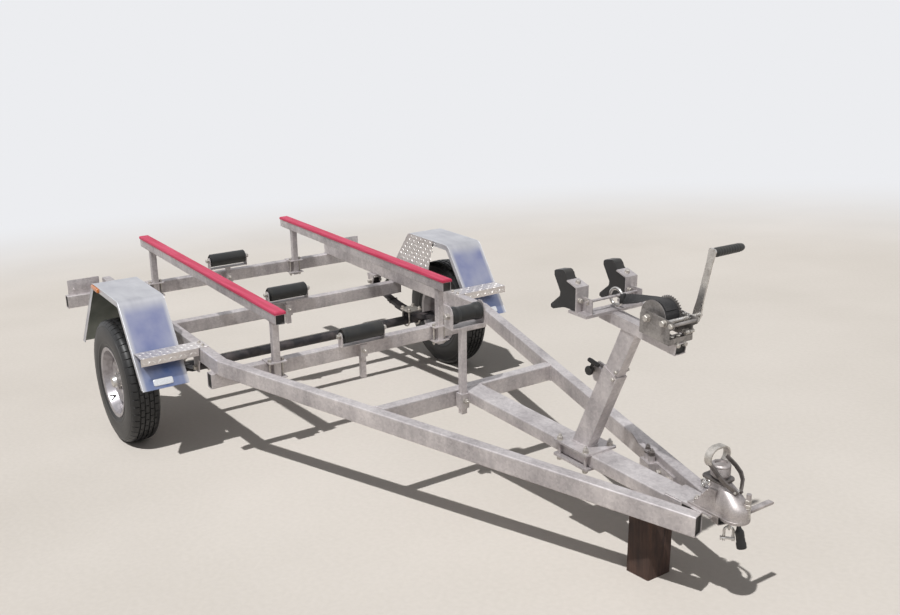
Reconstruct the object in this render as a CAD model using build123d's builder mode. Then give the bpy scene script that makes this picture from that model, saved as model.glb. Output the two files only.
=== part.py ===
"""Boat trailer: single axle, galvanised, with bunks, keel rollers and a hand winch.

The trailer is drawn level, X forward from the axle, Y to its left, Z up from the
ground. It is parked nose down on a timber block, so each piece is turned by the
same small angle about the axle as it is written (see save).
"""

from build123d import *
from math import atan2, cos, pi, radians, sin, sqrt, tan
import os

os.makedirs("parts", exist_ok=True)

# How it stands
NOSE_DOWN = 4.7             # degrees that the drawbar drops towards the coupling
AXLE_FROM_CENTRE = -1019.4  # X of the axle from the middle of the whole trailer

# Wheels
TYRE_R = 322.0
RIM_R = 182.5
WHEEL_Y = 1002.0            # middle of the tyre

# Rails and cross members, all 75 x 50 hollow section
RAIL_H = 75.0
RAIL_W = 50.0
WALL = 3.0
CORNER_R = 6.0
RAIL_TOP = 588.0
RAIL_BOTTOM = RAIL_TOP - RAIL_H
RAIL_Y = 753.0              # centre line where the rails run parallel
RAIL_REAR_X = -1092.0
BEND_X = 714.0
TIP_X = 3015.0
TIP_Y = 62.0                # centre line at the front end
LEG_ANGLE = atan2(RAIL_Y - TIP_Y, TIP_X - BEND_X)

# Cross members: X of each front face
REAR_MEMBER_X = -1050.0
MIDDLE_MEMBER_X = -182.0
FRONT_MEMBER_X = 681.0
NECK_MEMBER_X = 1661.0

# Drawbar pole, 100 x 50 laid flat between the rails, and the plate over its tip
POLE_W = 100.0
POLE_H = 50.0
POLE_FRONT_X = 2925.0
PLATE_T = 8.0
PLATE_REAR_X = 2850.0
PLATE_FRONT_X = 3050.0

# Bunks
BUNK_Y = 475.0
BUNK_SIZE = 50.0
BUNK_WALL = 2.5
BUNK_BOTTOM = 722.0
BUNK_REAR_X = -1172.0
BUNK_FRONT_X = 775.0
SKID_T = 16.0
SKID_W = 58.0
SKID_EDGE_R = 6.0
POST_SIZE = 35.0
CLAMP_T = 5.0
CLAMP_W = 92.0

# Axle and springs
AXLE_R = 26.0
STUB_R = 15.0
SPRING_Y = 735.0
LEAF_W = 45.0
LEAF_T = 7.0
SPRING_FRONT_X = 395.0
SPRING_REAR_X = -430.0
SPRING_R = 1215.0           # radius of the main leaf
SEAT_Z = TYRE_R + 30.0      # underside of the spring pack
EYE_R = 17.0
EYE_PIN_R = 8.0

# Mudguards
GUARD_OUT_Y = 1070.0
GUARD_IN_Y = 845.0
GUARD_T = 2.0
GUARD_CORNERS = [(-505.0, 405.0), (-188.0, 805.0), (238.0, 805.0), (506.0, 430.0)]
GUARD_BEND_R = 45.0
GUARD_LIP = 28.0
INNER_LIP_X = 90.0          # the inner edge has its lip only ahead of this
LEDGE_Z = 545.0
LEDGE_REAR_X = -391.0
LEDGE_FRONT_X = 15.0
STEP_REAR_X = 399.0
STEP_FRONT_X = 500.0
STEP_IN_Y = 730.0
STEP_OUT_Y = 1066.0
STEP_LIP = 36.0
STEP_LIP_IN_Y = 784.0
STEP_T = 3.0

# Keel rollers
KEEL_LEN = 232.0
KEEL_R = 40.0
KEEL_PIN_R = 8.0
FIT = 0.05                  # radial play of what turns on a pin

# Winch post: outer tube on the pole, inner tube that slides in it, and the arm across its top
POST_LEAN = 24.0            # degrees forward of upright
POST_FOOT_X = 2390.0        # centre of the post at the top of its foot plate
OUTER_X = 75.0
OUTER_Y = 50.0
OUTER_LEN = 362.0
INNER_X = 65.0
INNER_Y = 40.0
ARM_DROP = 6.0              # degrees that the arm falls towards the front
ARM_REAR_X = 2470.0
ARM_LOW_Z = 1112.0          # underside of the arm at its rear end
ARM_LEN = 366.0
ARM_W = 50.0
ARM_H = 40.0

# Hand winch
DRUM_X = 2736.0
DRUM_Z = 1186.0
MODULE = 3.0
GEAR_TEETH = 38
PINION_TEETH = 12
GEAR_DISTANCE = MODULE * (GEAR_TEETH + PINION_TEETH) / 2
CRANK_X = DRUM_X + GEAR_DISTANCE
CRANK_Z = DRUM_Z
FLANGE_R = 56.0
ROLL_R = 50.0
FRAME_Y = 52.0              # inner faces of the frame's side plates
FRAME_T = 4.0
CRANK_Y = 92.0
CRANK_LEAN = 12.0
CRANK_LEN = 226.0

GEAR_Y = 40.0               # inner face of the large gear
GEAR_WIDTH = 6.0
FLANGE_Y = -30.0
CORE_R = 24.0
DRUM_BOLT_R = 8.0
BAR_T = 6.0
GRIP_LEN = 142.0
RING_X = 2527.0
RING_Z = 1198.0
RING_OUTER = 36.0
RING_INNER = 24.0
RING_T = 10.0

# Lead of the lamps: it leaves a clip on the left rail and hangs with its plug beside the
# coupling, X and Z of the route's points
LEAD_ROUTE = [(2983.0, 597.0), (3018.0, 597.0), (3046.0, 582.0), (3056.0, 552.0), (3062.0, 530.0)]
LEAD_Y = 78.0
LEAD_R = 3.5
CLIP = 16.0
# Radius and distance from the lead's end
PLUG_OUTLINE = [(0, 0), (7, 0), (11, 18), (15, 22), (15, 60), (17, 62), (17, 82), (0, 82)]

# Safety chain: bolted to the left rail, over the coupling's far side and down
CHAIN_ROUTE = [(2900, 98, 614), (2984, 66, 672), (3034, 60, 640), (3036, 60, 452)]
CHAIN_BEND_R = 42.0
LINK_LEN = 40.0
LINK_W = 28.0
LINK_T = 6.0
LINK_PITCH = 26.4

# Ball coupling
BALL_X = 3108.0
BALL_R = 25.4
LIP_Z = 600.0
BALL_Z = 622.0


def save(piece, name):
    """Turns a finished piece with the parked trailer and writes it."""
    parked = piece.moved(
        Location((AXLE_FROM_CENTRE, 0, TYRE_R), (0, NOSE_DOWN, 0)) * Location((0, 0, -TYRE_R))
    )
    parked.label = name
    export_step(parked, f"parts/{name}.step")


def side_plane(y):
    """A plane that shows the trailer from its right: X forward, Z up. It extrudes towards -Y."""
    return Plane(origin=(0, y, 0), x_dir=(1, 0, 0), z_dir=(0, -1, 0))


def leg_point(side, x, out):
    """A point beside a rail's angled front leg: out is the distance outwards from its middle."""
    middle = RAIL_Y - (x - BEND_X) * tan(LEG_ANGLE)
    return (x + out * sin(LEG_ANGLE), side * (middle + out * cos(LEG_ANGLE)))


# Rails, each bent once, its front end cut square
rail_mid_z = RAIL_BOTTOM + RAIL_H / 2
for side, hand in ((-1, "right"), (1, "left")):
    rail_start = (RAIL_REAR_X, side * RAIL_Y, rail_mid_z)
    with BuildPart() as rail:
        with BuildLine() as run:
            Polyline(
                rail_start, (BEND_X, side * RAIL_Y, rail_mid_z), (TIP_X, side * TIP_Y, rail_mid_z),
            )
        with BuildSketch(Plane(origin=rail_start, x_dir=(0, 1, 0), z_dir=(1, 0, 0))):
            RectangleRounded(RAIL_W, RAIL_H, CORNER_R)
            Rectangle(RAIL_W - 2 * WALL, RAIL_H - 2 * WALL, mode=Mode.SUBTRACT)
        sweep(transition=Transition.RIGHT)
        if hand == "left":
            # clip for the lamps' lead
            with BuildSketch(Plane.XY.offset(RAIL_TOP)):
                with Locations((LEAD_ROUTE[0][0] - CLIP / 2, LEAD_Y)):
                    Rectangle(CLIP, CLIP)
            extrude(amount=CLIP)
    save(rail.part, f"rail_{hand}")

# Cross members: name, X of the front face, Z of the top, half length
CROSS_MEMBERS = [
    ("cross_member_rear", REAR_MEMBER_X, RAIL_BOTTOM, 1000.0),
    ("cross_member_middle", MIDDLE_MEMBER_X, RAIL_BOTTOM, 780.0),
    ("cross_member_front", FRONT_MEMBER_X, RAIL_BOTTOM, 800.0),
    ("cross_member_neck", NECK_MEMBER_X, RAIL_TOP, 448.0),
]
for name, front_x, top_z, half in CROSS_MEMBERS:
    with BuildPart() as member:
        with BuildSketch(side_plane(half)):
            with Locations((front_x - RAIL_W / 2, top_z - RAIL_H / 2)):
                RectangleRounded(RAIL_W, RAIL_H, CORNER_R)
                Rectangle(RAIL_W - 2 * WALL, RAIL_H - 2 * WALL, mode=Mode.SUBTRACT)
        extrude(amount=2 * half)
        if name == "cross_member_neck":
            # its ends are mitred to the inside of the converging rails
            for side in (-1, 1):
                with BuildSketch(Plane.XY.offset(RAIL_BOTTOM)):
                    with BuildLine():
                        Polyline(*[
                            leg_point(side, x, out)
                            for x, out in (
                                (900, -RAIL_W / 2), (2200, -RAIL_W / 2), (2200, 300), (900, 300),
                            )
                        ], close=True)
                    make_face()
                extrude(amount=RAIL_H, mode=Mode.SUBTRACT)
    save(member.part, name)

# Drawbar pole, with the plate over its tip that the coupling is bolted to
with BuildPart() as pole:
    with BuildSketch(Plane.YZ.offset(NECK_MEMBER_X)):
        with Locations((0, RAIL_TOP - POLE_H / 2)):
            RectangleRounded(POLE_W, POLE_H, CORNER_R)
            Rectangle(POLE_W - 2 * WALL, POLE_H - 2 * WALL, mode=Mode.SUBTRACT)
    extrude(amount=POLE_FRONT_X - NECK_MEMBER_X)
    with BuildSketch(Plane.XY.offset(RAIL_TOP)):
        with BuildLine():
            Polyline(
                (PLATE_REAR_X, -50), (PLATE_FRONT_X, -46), (PLATE_FRONT_X, 46), (PLATE_REAR_X, 50),
                close=True,
            )
        make_face()
    extrude(amount=PLATE_T)
save(pole.part, "drawbar_pole")

# Timber block that the drawbar rests on
BLOCK_X = 2745.0
BLOCK_SIZE = 110.0
GROUND_SLOPE = tan(radians(NOSE_DOWN))
GROUND_Z = TYRE_R - TYRE_R / cos(radians(NOSE_DOWN))  # under the drawn, level axle
with BuildPart() as block:
    with BuildSketch(side_plane(BLOCK_SIZE / 2)):
        with BuildLine():
            rear = BLOCK_X - BLOCK_SIZE / 2
            front = BLOCK_X + BLOCK_SIZE / 2
            Polyline(
                (rear, GROUND_Z + rear * GROUND_SLOPE), (front, GROUND_Z + front * GROUND_SLOPE),
                (front, RAIL_TOP - POLE_H), (rear, RAIL_TOP - POLE_H), close=True,
            )
        make_face()
    extrude(amount=BLOCK_SIZE)
save(block.part, "timber_block")

# Axle beam: a round tube with stub ends, and a sleeve and a spring pad near each wheel
BEAM_HALF = 907.0
STUB_HALF = 1042.0
SLEEVE_R = 31.0
SLEEVE_Y = 766.0            # inner end of the sleeve
SLEEVE_LEN = 40.0
PAD_LEN = 110.0
PAD_W = 60.0
with BuildPart() as axle:
    with BuildSketch(side_plane(BEAM_HALF)):
        with Locations((0, TYRE_R)):
            Circle(AXLE_R)
    extrude(amount=2 * BEAM_HALF)
    with BuildSketch(side_plane(STUB_HALF)):
        with Locations((0, TYRE_R)):
            Circle(STUB_R)
    extrude(amount=2 * STUB_HALF)
    for y in (SLEEVE_Y + SLEEVE_LEN, -SLEEVE_Y):
        with BuildSketch(side_plane(y)):
            with Locations((0, TYRE_R)):
                Circle(SLEEVE_R)
        extrude(amount=SLEEVE_LEN)
    for y in (SPRING_Y, -SPRING_Y):
        with BuildSketch(side_plane(y + PAD_W / 2)):
            with Locations((0, (TYRE_R + SEAT_Z) / 2)):
                Rectangle(PAD_LEN, SEAT_Z - TYRE_R)
        extrude(amount=PAD_W)
save(axle.part, "axle")

# Leaf springs: each leaf reaches this share of the way to the eyes, the main leaf first
LEAVES = [1.0, 0.78, 0.56, 0.36]
spring_mid_z = SEAT_Z + len(LEAVES) * LEAF_T + SPRING_R


def leaf_point(x, radius):
    """A point at X on a circle about the spring's centre of curvature."""
    return (x, spring_mid_z - sqrt(radius ** 2 - x ** 2))


def eye_centre(x):
    """Centre of the rolled eye over an end of the main leaf."""
    return (x, leaf_point(x, SPRING_R)[1] + EYE_R - LEAF_T)


with BuildPart() as springs:
    for y in (SPRING_Y, -SPRING_Y):
        with BuildSketch(side_plane(y + LEAF_W / 2)):
            for number, share in enumerate(LEAVES):
                inner = SPRING_R + number * LEAF_T
                outer = inner + LEAF_T
                back = SPRING_REAR_X * share
                ahead = SPRING_FRONT_X * share
                with BuildLine():
                    low = ThreePointArc(
                        leaf_point(back, outer), leaf_point(0, outer), leaf_point(ahead, outer)
                    )
                    high = ThreePointArc(
                        leaf_point(back, inner), leaf_point(0, inner), leaf_point(ahead, inner)
                    )
                    Line(low @ 0, high @ 0)
                    Line(low @ 1, high @ 1)
                make_face()
            with Locations(eye_centre(SPRING_FRONT_X), eye_centre(SPRING_REAR_X)):
                Circle(EYE_R)
                Circle(EYE_PIN_R + FIT, mode=Mode.SUBTRACT)
        extrude(amount=LEAF_W)
save(springs.part, "leaf_springs")

# Spring hangers: a plate under the rail with a pair of cheeks and a pin, at each end of a spring
CHEEK_T = 6.0
with BuildPart() as hangers:
    for middle in (SPRING_Y, -SPRING_Y):
        for x in (SPRING_FRONT_X, SPRING_REAR_X):
            pin = eye_centre(x)
            with BuildSketch(Plane.XY.offset(RAIL_BOTTOM)):
                with Locations((x, middle)):
                    Rectangle(80, LEAF_W + 2 * CHEEK_T)
            extrude(amount=-CHEEK_T)
            for y in (middle + LEAF_W / 2 + CHEEK_T, middle - LEAF_W / 2):
                with BuildSketch(side_plane(y)):
                    with BuildLine():
                        Polyline(
                            (x - 40, RAIL_BOTTOM), (x + 40, RAIL_BOTTOM),
                            (x + 22, pin[1] - 20), (x - 22, pin[1] - 20), close=True,
                        )
                    make_face()
                extrude(amount=CHEEK_T)
            with BuildSketch(side_plane(middle + LEAF_W / 2 + 14)):
                with Locations(pin):
                    Circle(EYE_PIN_R)
            extrude(amount=LEAF_W + 28)
save(hangers.part, "spring_hangers")


# Mudguards: a bent strip, with a lip along its outer edge and one down its inner front edge
def guard_line():
    """The guard's outline from the side, rear foot to front foot."""
    return FilletPolyline(*GUARD_CORNERS, radius=GUARD_BEND_R)


def guard_lip():
    """Face of a lip along the guard, on the wheel's side, cut off straight at the feet."""
    rear, _, _, front = GUARD_CORNERS
    with BuildSketch() as lip:
        with BuildLine():
            guard_line()
            offset(amount=GUARD_LIP, side=Side.RIGHT)
        make_face()
        with BuildLine():
            Polyline(rear, front, (front[0], 1000), (rear[0], 1000), close=True)
        make_face(mode=Mode.INTERSECT)
    return lip.sketch


with BuildPart() as guards:
    for side in (-1, 1):
        with BuildSketch(side_plane(max(side * GUARD_OUT_Y, side * GUARD_IN_Y))):
            with BuildLine():
                guard_line()
                offset(amount=GUARD_T, side=Side.LEFT)
            make_face()
        extrude(amount=GUARD_OUT_Y - GUARD_IN_Y)
        with BuildSketch(side_plane(side * GUARD_OUT_Y + (GUARD_T if side < 0 else 0))):
            add(guard_lip())
        extrude(amount=GUARD_T)
        with BuildSketch(side_plane(side * GUARD_IN_Y + (GUARD_T if side > 0 else 0))):
            add(guard_lip())
            with Locations((INNER_LIP_X, LEDGE_Z)):
                Rectangle(1000, 1000, align=(Align.MIN, Align.CENTER), mode=Mode.INTERSECT)
        extrude(amount=GUARD_T)
save(guards.part, "mudguards")

# Inner side plates of the guards, rear half only, with a ledge out to the rail
with BuildPart() as inner_plates:
    for side in (-1, 1):
        with BuildSketch(side_plane(side * GUARD_IN_Y + (0 if side > 0 else GUARD_T))):
            with BuildLine():
                outline = guard_line()
                Line(outline @ 1, outline @ 0)
            make_face()
            with BuildLine():
                Polyline(
                    (-600, LEDGE_Z), (-600, 1000), (LEDGE_FRONT_X + 120, 1000),
                    (LEDGE_FRONT_X, LEDGE_Z), close=True,
                )
            make_face(mode=Mode.INTERSECT)
        extrude(amount=GUARD_T)
        with BuildSketch(Plane.XY.offset(LEDGE_Z)):
            with Locations((
                (LEDGE_REAR_X + LEDGE_FRONT_X) / 2, side * (GUARD_IN_Y + RAIL_Y + RAIL_W / 2) / 2,
            )):
                Rectangle(LEDGE_FRONT_X - LEDGE_REAR_X, GUARD_IN_Y - RAIL_Y - RAIL_W / 2)
        extrude(amount=STEP_T)
save(inner_plates.part, "guard_plates")

# Steps of tread plate in front of the wheels, from each rail out over the guard's front
with BuildPart() as steps:
    for side in (-1, 1):
        with BuildSketch(Plane.XY.offset(RAIL_TOP)):
            with Locations((
                (STEP_REAR_X + STEP_FRONT_X) / 2, side * (STEP_IN_Y + STEP_OUT_Y) / 2,
            )):
                Rectangle(STEP_FRONT_X - STEP_REAR_X, STEP_OUT_Y - STEP_IN_Y)
        extrude(amount=STEP_T)
        with BuildSketch(Plane.XY.offset(RAIL_TOP)):
            with Locations((
                STEP_FRONT_X - STEP_T / 2, side * (STEP_LIP_IN_Y + STEP_OUT_Y) / 2,
            )):
                Rectangle(STEP_T, STEP_OUT_Y - STEP_LIP_IN_Y)
        extrude(amount=-STEP_LIP)
save(steps.part, "steps")

# Tail lamps on upright plates at the ends of the rear cross member
LAMP_Y = 892.0
LAMP_BACK_X = REAR_MEMBER_X - 34
LAMP_PLATE_T = 4.0
LAMP_PLATE_W = 186.0
LAMP_PLATE_H = 88.0
LAMP_DEPTH = 30.0
LAMP_W = 176.0
LAMP_H = 80.0
with BuildPart() as lamps:
    for side in (-1, 1):
        with BuildSketch(Plane.YZ.offset(LAMP_BACK_X)):
            with Locations((side * LAMP_Y, RAIL_BOTTOM + LAMP_PLATE_H / 2)):
                Rectangle(LAMP_PLATE_W, LAMP_PLATE_H)
        extrude(amount=LAMP_PLATE_T)
        with BuildSketch(Plane.YZ.offset(LAMP_BACK_X - LAMP_DEPTH)):
            with Locations((side * LAMP_Y, RAIL_BOTTOM + 5 + LAMP_H / 2)):
                RectangleRounded(LAMP_W, LAMP_H, 10)
        extrude(amount=LAMP_DEPTH)
save(lamps.part, "tail_lamps")

# Bunks: two square tubes with a flat-topped skid strip on each
with BuildPart() as bunks:
    with BuildSketch(Plane.YZ.offset(BUNK_REAR_X)):
        with Locations((-BUNK_Y, BUNK_BOTTOM + BUNK_SIZE / 2), (BUNK_Y, BUNK_BOTTOM + BUNK_SIZE / 2)):
            RectangleRounded(BUNK_SIZE, BUNK_SIZE, 2 * BUNK_WALL)
            Rectangle(BUNK_SIZE - 2 * BUNK_WALL, BUNK_SIZE - 2 * BUNK_WALL, mode=Mode.SUBTRACT)
    extrude(amount=BUNK_FRONT_X - BUNK_REAR_X)
save(bunks.part, "bunks")

for side, hand in ((-1, "right"), (1, "left")):
    with BuildPart() as skid:
        with BuildSketch(Plane.YZ.offset(BUNK_REAR_X - 4)):
            with Locations((side * BUNK_Y, BUNK_BOTTOM + BUNK_SIZE + SKID_T / 2)):
                Rectangle(SKID_W, SKID_T)
        extrude(amount=BUNK_FRONT_X - BUNK_REAR_X + 8)
        chamfer(skid.edges().filter_by(Axis.Y).group_by(Axis.Z)[-1], SKID_EDGE_R)
        fillet(skid.edges().filter_by(Axis.X).group_by(Axis.Z)[-1], SKID_EDGE_R)
    save(skid.part, f"bunk_skid_{hand}")

# Bunk posts, held to the front of two cross members by a clamp plate above and one below:
# front face of the member, Z of the post's foot
POSTS = [(REAR_MEMBER_X, 420.0), (FRONT_MEMBER_X, 416.0)]
with BuildPart() as posts:
    for member_x, foot_z in POSTS:
        for y in (-BUNK_Y, BUNK_Y):
            with BuildSketch(Plane.XY.offset(foot_z)):
                with Locations((member_x + POST_SIZE / 2, y)):
                    RectangleRounded(POST_SIZE, POST_SIZE, 4)
            extrude(amount=BUNK_BOTTOM - foot_z)
            for z in (RAIL_BOTTOM, RAIL_BOTTOM - RAIL_H - CLAMP_T):
                with BuildSketch(Plane.XY.offset(z)):
                    with Locations((member_x, y)):
                        Rectangle(CLAMP_W, CLAMP_W)
                extrude(amount=CLAMP_T)
save(posts.part, "bunk_posts")

# Keel rollers: name, X, Y and Z of the pin, length, end radius, waist radius, depth of the end
# cups, X and Y of the stem, Z of the stem's foot, half width of the cheeks, their rise over the pin
ROLLERS = [
    ("rear", -1030.0, 0.0, 600.0, KEEL_LEN, KEEL_R, KEEL_R, 6.0, -1030.0, 0.0, 455.0, 22.0, 18.0),
    ("middle", -162.0, 0.0, 583.0, KEEL_LEN, KEEL_R, KEEL_R, 6.0, -162.0, 0.0, 394.0, 22.0, 18.0),
    ("front", 701.0, 0.0, 573.0, KEEL_LEN, KEEL_R, KEEL_R, 6.0, 701.0, 0.0, 330.0, 22.0, 18.0),
    ("bow", 1681.0, -50.0, 932.0, 150.0, 38.0, 33.0, 16.0, 1693.0, -70.0, 490.0, 30.0, 44.0),
]
EDGE = 6.0
for name, x, y, z, length, end_r, waist_r, cup, _, _, _, _, _ in ROLLERS:
    half = length / 2
    # radius from the pin, distance from the nearer end
    end_outline = [
        (KEEL_PIN_R + FIT, 0), (16, 0), (16, cup), (end_r - 10, cup), (end_r - EDGE, 0), (end_r, EDGE),
    ]
    if waist_r < end_r:
        end_outline += [(end_r, 22), (waist_r, 40)]
    with BuildPart() as roller:
        with BuildSketch(Plane.XY.offset(z)):
            with BuildLine():
                Polyline(
                    *[(x + radius, y - half + inset) for radius, inset in end_outline],
                    *[(x + radius, y + half - inset) for radius, inset in reversed(end_outline)],
                    close=True,
                )
            make_face()
        revolve(axis=Axis((x, y, z), (0, 1, 0)))
    save(roller.part, f"keel_roller_{name}")

# Their brackets: a strip bent up into two cheeks, a stem, and the sleeve that clamps the stem
# to the front of its cross member
STEM = 26.0
SLEEVE = 40.0
SLEEVE_H = 66.0
STRIP_T = 5.0
with BuildPart() as brackets:
    for name, x, y, z, length, end_r, _, _, stem_x, stem_y, foot_z, wide, rise in ROLLERS:
        cheek = length / 2 + 3
        seat_z = z - end_r - 16
        for edge in (y - cheek, y + cheek + STRIP_T):
            with BuildSketch(side_plane(edge)):
                with BuildLine():
                    Polyline(
                        (x - wide, seat_z), (x - wide, z + rise - wide),
                        (x - 0.7 * wide, z + rise - 0.3 * wide), (x - 0.3 * wide, z + rise),
                        (x + 0.3 * wide, z + rise), (x + 0.7 * wide, z + rise - 0.3 * wide),
                        (x + wide, z + rise - wide), (x + wide, seat_z), close=True,
                    )
                make_face()
            extrude(amount=STRIP_T)
        with BuildSketch(Plane.XY.offset(seat_z)):
            with Locations((x, y)):
                Rectangle(2 * wide, 2 * (cheek + STRIP_T))
        extrude(amount=STRIP_T)
        with BuildSketch(side_plane(y + cheek + 16)):
            with Locations((x, z)):
                Circle(KEEL_PIN_R)
        extrude(amount=2 * (cheek + 16))
        with BuildSketch(Plane.XY.offset(foot_z)):
            with Locations((stem_x, stem_y)):
                Rectangle(STEM, STEM)
        extrude(amount=seat_z - foot_z)
        top_z = RAIL_BOTTOM - 3 if name != "bow" else RAIL_TOP - 5
        with BuildSketch(Plane.XY.offset(top_z - SLEEVE_H)):
            with Locations((stem_x, stem_y)):
                Rectangle(SLEEVE, SLEEVE)
        extrude(amount=SLEEVE_H)
save(brackets.part, "roller_brackets")

# Wheels. Each point is a radius and a distance outwards from the middle of the tyre
TYRE_SIDE = [
    (RIM_R - 12, 64), (RIM_R + 58, 80), (TYRE_R - 22, 73), (TYRE_R, 50),
]
RIM_BARREL = [
    (183, -72), (183, -68), (169, -66), (152, -28), (152, 20), (169, 66),
    (183, 68), (183, 72), (165, 69), (148, 24), (148, -30), (165, -69),
]
RIM_DISC = [(149, 16), (140, 14), (108, 36), (48, 20), (48, 14), (108, 30), (138, 8), (149, 10)]
HUB = [
    (STUB_R + FIT, -66), (40, -66), (42, -12), (70, -8), (70, 14), (34, 14), (32, 56), (26, 72),
    (0, 76), (0, 42), (STUB_R + FIT, 42),
]
HAND_HOLES = 8
HOLE_PITCH_R = 128.0
HOLE_R = 11.0
for side, hand in ((-1, "right"), (1, "left")):
    y = side * WHEEL_Y
    axis = Axis((0, y, TYRE_R), (0, 1, 0))
    with BuildPart() as tyre:
        with BuildSketch(Plane.XY.offset(TYRE_R)):
            with BuildLine():
                Polyline(
                    *[(radius, y - out) for radius, out in TYRE_SIDE],
                    *[(radius, y + out) for radius, out in reversed(TYRE_SIDE)], close=True,
                )
            make_face()
        revolve(axis=axis)
    save(tyre.part, f"tyre_{hand}")

    with BuildPart() as rim:
        with BuildSketch(Plane.XY.offset(TYRE_R)):
            for outline in (RIM_BARREL, RIM_DISC):
                with BuildLine():
                    Polyline(*[(radius, y + side * out) for radius, out in outline], close=True)
                make_face()
        revolve(axis=axis)
        with BuildSketch(side_plane(y + 60)):
            with Locations((0, TYRE_R)):
                with PolarLocations(HOLE_PITCH_R, HAND_HOLES):
                    Circle(HOLE_R)
        extrude(amount=120, mode=Mode.SUBTRACT)
    save(rim.part, f"rim_{hand}")

    with BuildPart() as hub:
        with BuildSketch(Plane.XY.offset(TYRE_R)):
            with BuildLine():
                Polyline(*[(radius, y + side * out) for radius, out in HUB], close=True)
            make_face()
        revolve(axis=axis)
    save(hub.part, f"hub_{hand}")

# Winch post. The outer tube stands on a foot plate clamped over the pole by four long bolts
lean = radians(POST_LEAN)
post_plane = Plane(
    origin=(POST_FOOT_X, 0, RAIL_TOP + PLATE_T),
    x_dir=(cos(lean), 0, -sin(lean)), z_dir=(sin(lean), 0, cos(lean)),
)
FOOT_LEN = 190.0
FOOT_W = 150.0
FOOT_BOLT_X = (2318.0, 2462.0)
FOOT_BOLT_Y = 60.0
FOOT_BOLT_R = 6.0
SOCKET_DEPTH = 200.0        # length of the tube that the inner tube may fill
EAR_OUTLINE = [(2502, 918), (2436, 930), (2424, 912), (2450, 868), (2482, 866)]
EAR_T = 8.0
EAR_Y = 11.0                # inner face of each ear
SCREW_X = 2444.0
SCREW_Z = 908.0
with BuildPart() as post_outer:
    # drawn from below its foot plate, then cut off level with the plate
    with BuildSketch(post_plane.offset(-40)):
        Rectangle(OUTER_X, OUTER_Y)
        Rectangle(INNER_X + 1, INNER_Y + 1, mode=Mode.SUBTRACT)
    extrude(amount=OUTER_LEN + 40)
    split(bisect_by=Plane.XY.offset(RAIL_TOP + PLATE_T), keep=Keep.TOP)
    for z in (RAIL_TOP, RAIL_TOP - POLE_H - PLATE_T):
        with BuildSketch(Plane.XY.offset(z)):
            with Locations((POST_FOOT_X, 0)):
                RectangleRounded(FOOT_LEN, FOOT_W, 8)
        extrude(amount=PLATE_T)
    with BuildSketch(Plane.XY.offset(RAIL_TOP - POLE_H - 24)):
        for x in FOOT_BOLT_X:
            with Locations((x, -FOOT_BOLT_Y), (x, FOOT_BOLT_Y)):
                Circle(FOOT_BOLT_R)
    extrude(amount=POLE_H + 48)
    # two ears at the back of the tube's top, drawn together by the height screw
    for y in (-EAR_Y, EAR_Y + EAR_T):
        with BuildSketch(side_plane(y)):
            with BuildLine():
                Polyline(*EAR_OUTLINE, close=True)
            make_face()
        extrude(amount=EAR_T)
    with BuildSketch(post_plane.offset(SOCKET_DEPTH)):
        Rectangle(INNER_X + 1, INNER_Y + 1)
    extrude(amount=OUTER_LEN, mode=Mode.SUBTRACT)
    with BuildSketch(side_plane(30)):
        with Locations((SCREW_X, SCREW_Z)):
            Circle(6)
    extrude(amount=60)
save(post_outer.part, "winch_post_outer")

# Inner tube of the post, cut off at the slope of the arm that is welded to it
INNER_FROM = 90.0           # how far up the outer tube it begins
drop = radians(ARM_DROP)
arm_foot = Plane(
    origin=(ARM_REAR_X, 0, ARM_LOW_Z), x_dir=(cos(drop), 0, -sin(drop)), z_dir=(sin(drop), 0, cos(drop)),
)
with BuildPart() as post_inner:
    with BuildSketch(post_plane.offset(INNER_FROM)):
        Rectangle(INNER_X, INNER_Y)
        Rectangle(INNER_X - 2 * WALL, INNER_Y - 2 * WALL, mode=Mode.SUBTRACT)
    extrude(amount=520)
    split(bisect_by=arm_foot, keep=Keep.BOTTOM)
save(post_inner.part, "winch_post_inner")


def arm_top_z(x):
    """Height of the arm's top face at X."""
    return ARM_LOW_Z + ARM_H / cos(drop) - (x - ARM_REAR_X) * tan(drop)


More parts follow.
